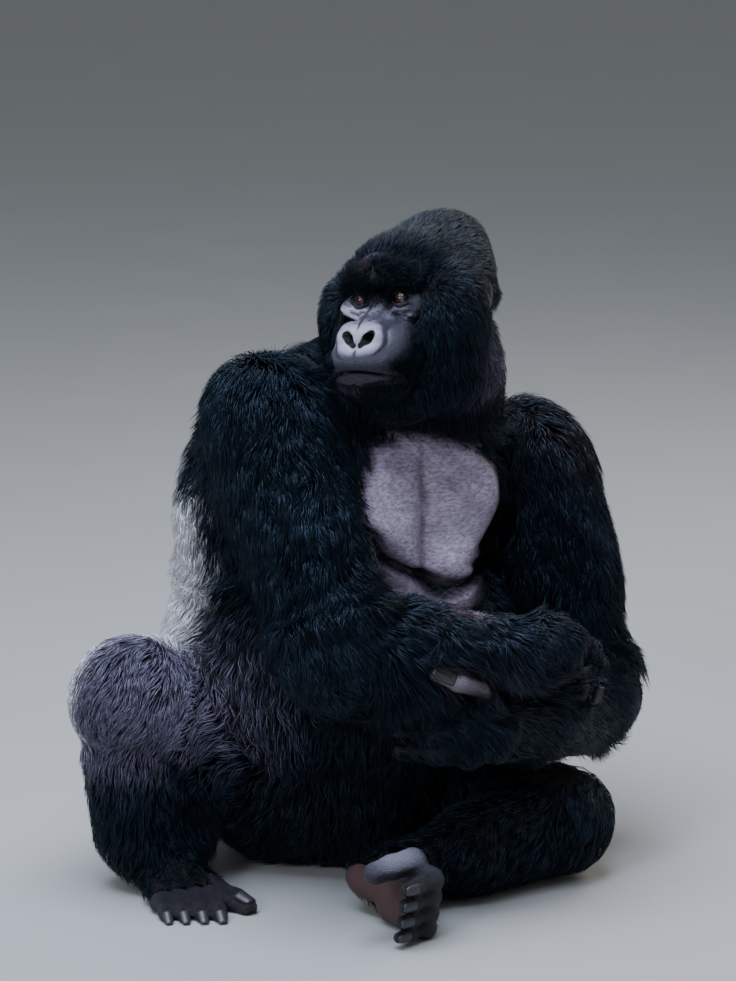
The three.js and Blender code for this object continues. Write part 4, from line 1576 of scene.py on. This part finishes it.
@dataclass
class Nails:
    """The nails of one hand or foot: a curved plate on the last bar of each finger or toe."""

    name: str
    part: Part
    frame: Frame
    bars: tuple[int, ...]
    outer: float = 0.9  # height of its outer and inner side over the bar
    inner: float = -1.6
    arch: float = 0.7

    def plate(self, bar: Limb) -> Points:
        """A plate over the bar's back: rows along it, columns across, outer then inner side.

        At share t along and angle a across, its outer side lies at the bar's radius plus 0.9 mm, arched by
        0.7 mm in its middle. It is 2.5 mm thick, narrows beyond t = 0.9 and droops by 10 (t - 1)^2.

        Args:
            bar: The last bar of the digit.

        Returns:
            The places of both sides, outer first.
        """
        way = unit(bar.end - bar.start)
        back = self.frame.axes[2]
        back = unit(back - way * (back @ way))
        side = np.cross(way, back)
        t = np.linspace(0.3, 1.32, 9)[:, None]
        a = np.linspace(-0.82, 0.82, 9)[None]
        length = np.linalg.norm(bar.end - bar.start)
        narrow = 1 - 0.35 * np.clip((t - 0.9) / 0.42, 0, 1) ** 2
        radius = bar.r0 + (bar.r1 - bar.r0) * t
        drop = np.clip(t - 1.0, 0, 1) ** 2 * 10
        sides = []
        for lift in (self.outer, self.inner):
            r = radius + lift + self.arch * np.cos(a * 1.8) - drop
            over, across = r * np.cos(a * narrow), r * np.sin(a * narrow)
            sides.append(bar.start + way * (t * length + 0 * a)[..., None]
                         + back * over[..., None] + side * across[..., None])
        return np.stack(sides)

    def dress(self, material: bpy.types.Material) -> bpy.types.Object:
        """Joins the plates of all the bars into one piece of closed plates.

        Args:
            material: The piece's finish.

        Returns:
            The piece.
        """
        places, faces = [], []
        for bar in [m for i, m in enumerate(self.part.masses) if i in self.bars]:
            sides = self.plate(bar)
            _, rows, columns, _ = sides.shape
            top = grid_faces(rows, columns, False)
            n = rows * columns
            rim = np.concatenate([np.arange(columns), columns * np.arange(1, rows) + columns - 1,
                                  n - 2 - np.arange(columns - 1), columns * np.arange(rows - 2, 0, -1)])
            edge = np.stack([rim, np.roll(rim, -1), np.roll(rim, -1) + n, rim + n], axis=1)
            quads = np.concatenate([top, top[:, ::-1] + n, edge[:, ::-1]])
            flat = sides.reshape(-1, 3)
            corner, beside, _, above = flat[quads[0]]
            if np.cross(beside - corner, above - corner) @ (corner - bar.start) < 0:
                quads = quads[:, ::-1]
            faces.append(quads + sum(map(len, places)))
            places.append(flat)
        piece = mesh_object(self.name, np.concatenate(places), np.concatenate(faces))
        return settle(piece, material)


# ------------------------------------------------------------------ finishes

def linear(hex_colour: str) -> tuple[float, float, float, float]:
    """An sRGB hex colour as linear red, green, blue and 1.

    Args:
        hex_colour: Six hex digits after a #.

    Returns:
        The colour for a socket.
    """
    parts = [int(hex_colour[i:i + 2], 16) / 255 for i in (1, 3, 5)]
    r, g, b = (c / 12.92 if c <= 0.04045 else ((c + 0.055) / 1.055) ** 2.4 for c in parts)
    return r, g, b, 1.0


def add(tree: bpy.types.NodeTree, kind: str, settings: dict | None = None,
        links: dict | None = None) -> bpy.types.Node:
    """Adds a shader node.

    Args:
        tree: The material's node tree.
        kind: Its type, without the ShaderNode in front.
        settings: Its own properties, and values of its inputs by name or number.
        links: Output sockets that feed its inputs, by name or number.

    Returns:
        The node.
    """
    node = tree.nodes.new("ShaderNode" + kind)
    for key, value in (settings or {}).items():
        if isinstance(key, str) and hasattr(node, key):
            setattr(node, key, value)
        else:
            node.inputs[key].default_value = value
    for key, socket in (links or {}).items():
        tree.links.new(socket, node.inputs[key])
    return node


def mix(tree: bpy.types.NodeTree, a: Socket | str, b: Socket | str, share: Socket | float,
        blend: str = "MIX") -> Socket:
    """The colour that a share of b over a gives, where a and b are sockets or hex colours.

    Args:
        tree: The material's node tree.
        a: The colour below.
        b: The colour over it.
        share: How much of b shows.
        blend: How b meets a.

    Returns:
        The colour's socket.
    """
    settings, links = {"data_type": "RGBA", "blend_type": blend}, {}
    for key, value in ((0, share), (6, a), (7, b)):
        if isinstance(value, str):
            settings[key] = linear(value)
        elif isinstance(value, float):
            settings[key] = value
        else:
            links[key] = value
    return add(tree, "Mix", settings, links).outputs[2]


def times(tree: bpy.types.NodeTree, a: Socket, b: Socket | float, clamp: bool = False) -> Socket:
    """The product of a socket and another, or a number.

    Args:
        tree: The material's node tree.
        a: A socket.
        b: A socket or a number.
        clamp: Whether to hold it from 0 to 1.

    Returns:
        The product's socket.
    """
    settings, links = {"operation": "MULTIPLY", "use_clamp": clamp}, {0: a}
    (settings if isinstance(b, float) else links)[1] = b
    return add(tree, "Math", settings, links).outputs[0]


def spread(tree: bpy.types.NodeTree, value: Socket, to: tuple[float, float] = (0.0, 1.0),
           over: tuple[float, float] = (0.0, 1.0)) -> Socket:
    """The value's range, over, drawn out evenly to another, and held at its ends."""
    ends = {"From Min": over[0], "From Max": over[1], "To Min": to[0], "To Max": to[1]}
    return add(tree, "MapRange", ends, {"Value": value}).outputs[0]


def grain(tree: bpy.types.NodeTree, place: Socket, scale: float, detail: float = 3.0,
          roughness: float = 0.5) -> Socket:
    """Noise of this scale, bumps to the metre where the place is in metres."""
    settings = {"Scale": scale, "Detail": detail, "Roughness": roughness}
    return add(tree, "TexNoise", settings, {"Vector": place}).outputs["Fac"]


def object_place(tree: bpy.types.NodeTree) -> Socket:
    """The place on the piece, in metres."""
    return add(tree, "TexCoord").outputs["Object"]


def marks_of(tree: bpy.types.NodeTree, name: str) -> list[Socket]:
    """The three numbers of a vector attribute."""
    read = add(tree, "Attribute", {"attribute_name": name})
    return list(add(tree, "SeparateXYZ", links={0: read.outputs["Vector"]}).outputs)


def start_material(name: str) -> tuple[bpy.types.Material, bpy.types.NodeTree]:
    """An empty node material.

    Args:
        name: What the finish is made of.

    Returns:
        The material and its node tree.
    """
    material = bpy.data.materials.new(name)
    material.use_nodes = True
    material.node_tree.nodes.clear()
    return material, material.node_tree


def surface(tree: bpy.types.NodeTree, settings: dict, links: dict) -> None:
    """Ends a material with a Principled BSDF of these settings and links."""
    shader = add(tree, "BsdfPrincipled", settings, links)
    add(tree, "OutputMaterial", links={"Surface": shader.outputs[0]})


class Ply(Enum):
    """How strongly a mark tells in a finish."""

    CLEAR = 0.75
    FULL = 0.95


@dataclass(frozen=True)
class GuardHair:
    """Grown guard hair: black with a cold sheen, silver on the saddle, darker at its roots.

    Keratin has an IOR of 1.55. Its scales are far too fine to show, so a strand is plain along its
    length, and the strands differ from each other as tufts of a weathered coat do.
    """

    dark: str = "#020304"
    light: str = "#202d3b"
    silver: str = "#eeeff3"
    # Warm brown, also used for the painted rim light on the left shoulder's edge.
    warm: str = "#4a2c26"
    # Grey of frosted hair, also used for the painted sheen on the crown and the right forearm.
    frost_and_sheen: str = "#8a829b"
    sheen: str = "#9cc0e0"
    patch_mm: float = 70.0

    def make(self) -> bpy.types.Material:
        """Builds the material.

        Returns:
            The material.
        """
        material, tree = start_material("guard_hair_grown")
        shade, along, _ = marks_of(tree, "strand")
        silver, warm, frost_and_sheen = marks_of(tree, "coat_marks_and_painted_light")
        patch = grain(tree, object_place(tree), 1000 / self.patch_mm)
        tip = spread(tree, along, (0.3, 1.0), (0.0, 0.8))
        uneven = times(tree, times(tree, times(tree, shade, tip), patch), 1.7, clamp=True)
        colour = mix(tree, self.dark, self.light, uneven)
        for name, mark in ((self.frost_and_sheen, frost_and_sheen), (self.warm, warm)):
            colour = mix(tree, colour, name, times(tree, times(tree, mark, Ply.CLEAR.value), tip, clamp=True))
        colour = mix(tree, colour, self.silver, times(tree, silver, Ply.FULL.value))
        surface(tree, {"IOR": 1.55, "Specular Tint": linear(self.sheen)},
                {"Base Color": colour, "Roughness": spread(tree, patch, (0.34, 0.52)),
                 "Specular IOR Level": spread(tree, shade, (0.14, 0.62))})
        return material


@dataclass(frozen=True)
class Hide:
    """Living skin: leathery, creased and a little greasy, so it shines softly on nose, lips and toes.

    The breast's creases run across it about 4 mm apart, and the face has pores about 1.6 mm apart, both
    drawn as they show in the bump; the creases also carry painted shade in their hollows and painted light on
    their crests. The breast is painted lit over its lower swell and in painted shade under its fold, and the
    face has painted shade in its creases and hollows and painted highlights under the eyes, as the great toe
    has on its top. Under the coat it is dull and carries the coat's own marks.
    """

    under: str = "#020304"
    face: str = "#2c2c3a"
    # Pale skin of the nose, also used for the painted highlights under the eyes and on the great toe.
    pale: str = "#a9a8b8"
    # Near-black skin, also used for the painted shade in the nostrils, the gap between the lips, the face's
    # creases and the breast's fold.
    black: str = "#050608"
    warm: str = "#4b3230"
    # The breast's colour where it is painted lit, and below it where it is painted in shade.
    breast: str = "#dccfea"
    breast_shaded: str = "#75657a"
    silver: str = "#8d9098"
    crease_mm: float = 4.0
    pore_mm: float = 1.6
    cloud_mm: float = 45.0

    def make(self) -> bpy.types.Material:
        """Builds the material.

        Returns:
            The material.
        """
        material, tree = start_material("hide_creased")
        bare, tone_and_painted_light, breast = marks_of(tree, "bare_marks_and_painted_light")
        silver, warm, _ = marks_of(tree, "coat_marks_and_painted_light")
        place = object_place(tree)
        across = add(tree, "Mapping", {"Scale": (0.42, 0.42, 1.0)}, {"Vector": place}).outputs[0]
        crease = grain(tree, across, 1000 / self.crease_mm, 4.0, 0.6)
        pores = add(tree, "TexVoronoi", {"Scale": 1000 / self.pore_mm}, {"Vector": place}).outputs["Distance"]
        cloud = grain(tree, place, 1000 / self.cloud_mm, 4.0)
        coat = mix(tree, self.under, self.silver, silver)
        skin = mix(tree, self.face, self.warm, warm)
        skin = mix(tree, skin, self.pale, spread(tree, tone_and_painted_light))
        # The breast runs from painted shade to painted light by the third number of its attribute.
        on_breast = spread(tree, breast, over=(0.0, 0.3))
        painted_lighting = spread(tree, breast, over=(0.3, 1.0))
        skin = mix(tree, skin, mix(tree, self.breast_shaded, self.breast, painted_lighting), on_breast)
        # Painted shade in the breast's creases and painted light on their crests, following the noise of the
        # bump.
        painted_crease_shade = spread(tree, crease, (0.42, 1.12), (0.36, 0.62))
        skin = mix(tree, skin, painted_crease_shade, times(tree, on_breast, 0.85), "MULTIPLY")
        skin = mix(tree, skin, self.black, spread(tree, tone_and_painted_light, over=(0.0, -1.0)))
        skin = mix(tree, skin, spread(tree, cloud, (0.62, 1.25)), 0.5, "MULTIPLY")
        height = add(tree, "Mix", {"data_type": "FLOAT"}, {0: on_breast, 2: pores, 3: crease}).outputs[0]
        bump = add(tree, "Bump", {"Strength": 0.9, "Distance": 0.0022}, {"Height": height}).outputs[0]
        surface(tree, {"IOR": 1.45, "Specular IOR Level": 0.5},
                {"Base Color": mix(tree, coat, skin, bare), "Roughness": spread(tree, cloud, (0.34, 0.55)),
                 "Normal": bump})
        return material


@dataclass(frozen=True)
class WetEye:
    """A living eye under tears: red-brown iris with fibres towards the pupil, dusky white, wet gloss."""

    pupil: float = 0.3  # angles from the gaze, in radians
    iris: float = 0.7
    rim: float = 1.05  # where the white darkens under the lids: painted shade
    spot_mm: float = 1000 / 260

    def make(self) -> bpy.types.Material:
        """Builds the material.

        Returns:
            The material.
        """
        material, tree = start_material("eye_wet")
        angle, across, up = marks_of(tree, "iris")
        ring = add(tree, "CombineXYZ", links={0: across, 1: up}).outputs[0]
        iris = mix(tree, "#160604", "#42180f", grain(tree, ring, 9.0))
        white = mix(tree, "#5f5350", "#2c1812", grain(tree, object_place(tree), 1000 / self.spot_mm))
        colour = "#020202"
        # The last ring darkens the white where the lids overhang it: painted shade.
        for ring_colour, at, soft in ((iris, self.pupil, 0.02), ("#120806", self.iris - 0.05, 0.03),
                                      (white, self.iris + 0.04, 0.03), ("#140a08", self.rim, 0.14)):
            colour = mix(tree, colour, ring_colour, spread(tree, angle, over=(at - soft, at + soft)))
        surface(tree, {"Roughness": 0.12, "IOR": 1.33, "Coat Weight": 0.3, "Coat Roughness": 0.03},
                {"Base Color": colour})
        return material


@dataclass(frozen=True)
class Horn:
    """Nail keratin worn on the ground: dark, with paler, duller patches about 3.2 mm wide."""

    dark: str = "#17171b"
    light: str = "#3d3b41"
    wear_mm: float = 3.2

    def make(self) -> bpy.types.Material:
        """Builds the material.

        Returns:
            The material.
        """
        material, tree = start_material("nail_keratin_worn")
        wear = grain(tree, object_place(tree), 1000 / self.wear_mm)
        bump = add(tree, "Bump", {"Strength": 0.3, "Distance": 0.0004}, {"Height": wear}).outputs[0]
        surface(tree, {"IOR": 1.54}, {"Base Color": mix(tree, self.dark, self.light, wear),
                                      "Roughness": spread(tree, wear, (0.34, 0.5)), "Normal": bump})
        return material


# ------------------------------------------------------------------ studio

@dataclass(frozen=True)
class Softbox:
    """A square area light: its place, what it points at, its side in metres, power in watts and colour."""

    name: str
    place: tuple[float, float, float]
    aim: tuple[float, float, float]
    side: float
    watts: float
    colour: str

    def hang(self) -> None:
        """Adds the light."""
        lamp = bpy.data.lights.new(self.name, "AREA")
        lamp.shape, lamp.size, lamp.energy = "SQUARE", self.side, self.watts
        lamp.color = linear(self.colour)[:3]
        light = bpy.data.objects.new(self.name, lamp)
        light.location = self.place
        light.rotation_euler = (Vector(self.aim) - Vector(self.place)).to_track_quat("-Z", "Y").to_euler()
        bpy.context.scene.collection.objects.link(light)


@dataclass(frozen=True)
class Studio:
    """A pale floor, soft light from above and the front, and the camera 13 degrees above the horizon."""

    camera_place: tuple[float, float, float] = (0.03983, -6.33341, 2.08683)
    elevation: float = 13.0
    lens: float = 140.7
    floor_half: float = 30.0
    lights: tuple[Softbox, ...] = (
        Softbox("sky_light", (-0.5, -0.9, 4.2), (0.0, -0.1, 0.5), 3.2, 380, "#dfe8ff"),
        Softbox("front_light", (-2.6, -4.6, 2.8), (0.0, -0.2, 0.7), 1.3, 125, "#eef0ff"),
        Softbox("rim_light", (2.6, 2.4, 3.0), (0.1, 0.0, 0.7), 2.0, 80, "#fff4ea"),
    )

    def build(self) -> None:
        """Adds the floor, the lights, the world and the camera."""
        r = self.floor_half / METRES
        floor = mesh_object("studio_floor", np.array([[-r, -r, 0], [r, -r, 0], [r, r, 0], [-r, r, 0.0]]),
                            np.array([[0, 1, 2, 3]]), smooth=False)
        material, tree = start_material("floor_paper_matt")
        colour = mix(tree, "#9a9c9a", "#a0a2a0", grain(tree, object_place(tree), 3.0, 4.0))
        surface(tree, {"Roughness": 0.85}, {"Base Color": colour})
        floor.data.materials.append(material)
        for light in self.lights:
            light.hang()
        world = bpy.data.worlds.new("studio_air")
        world.use_nodes = True
        sky = world.node_tree.nodes["Background"]
        sky.inputs[0].default_value, sky.inputs[1].default_value = linear("#dfe4ea"), 0.4
        bpy.context.scene.world = world
        eye = bpy.data.cameras.new("camera")
        eye.sensor_width, eye.lens = 36.0, self.lens
        camera = bpy.data.objects.new("camera", eye)
        camera.location = self.camera_place
        e = math.radians(self.elevation)
        camera.rotation_euler = Vector((0, math.cos(e), -math.sin(e))).to_track_quat("-Z", "Y").to_euler()
        bpy.context.scene.collection.objects.link(camera)
        bpy.context.scene.camera = camera


# ------------------------------------------------------------------ the gorilla

def main() -> None:
    """Builds the skin, the eyes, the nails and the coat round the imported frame."""
    logging.basicConfig(level=logging.INFO, format="%(name)s: %(message)s")
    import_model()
    Studio().build()
    anatomy = Anatomy()
    skin = Skin(anatomy)
    skin.build()
    skin.dress(Hide().make())
    wet = WetEye().make()
    Eye("eye_left", 1).dress(wet)
    Eye("eye_right", -1).dress(wet)
    horn = Horn().make()
    for name, frame in PAWS.items():
        Nails("nails_" + name, anatomy.parts[name], frame, LAST_BARS[name[:4]]).dress(horn)
    coat = Coat(anatomy, skin)
    hair = GuardHair().make()
    for seed, fleece in enumerate(FLEECES):
        coat.grow(fleece, hair, seed + 1)
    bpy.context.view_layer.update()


if __name__ == "__main__":
    main()
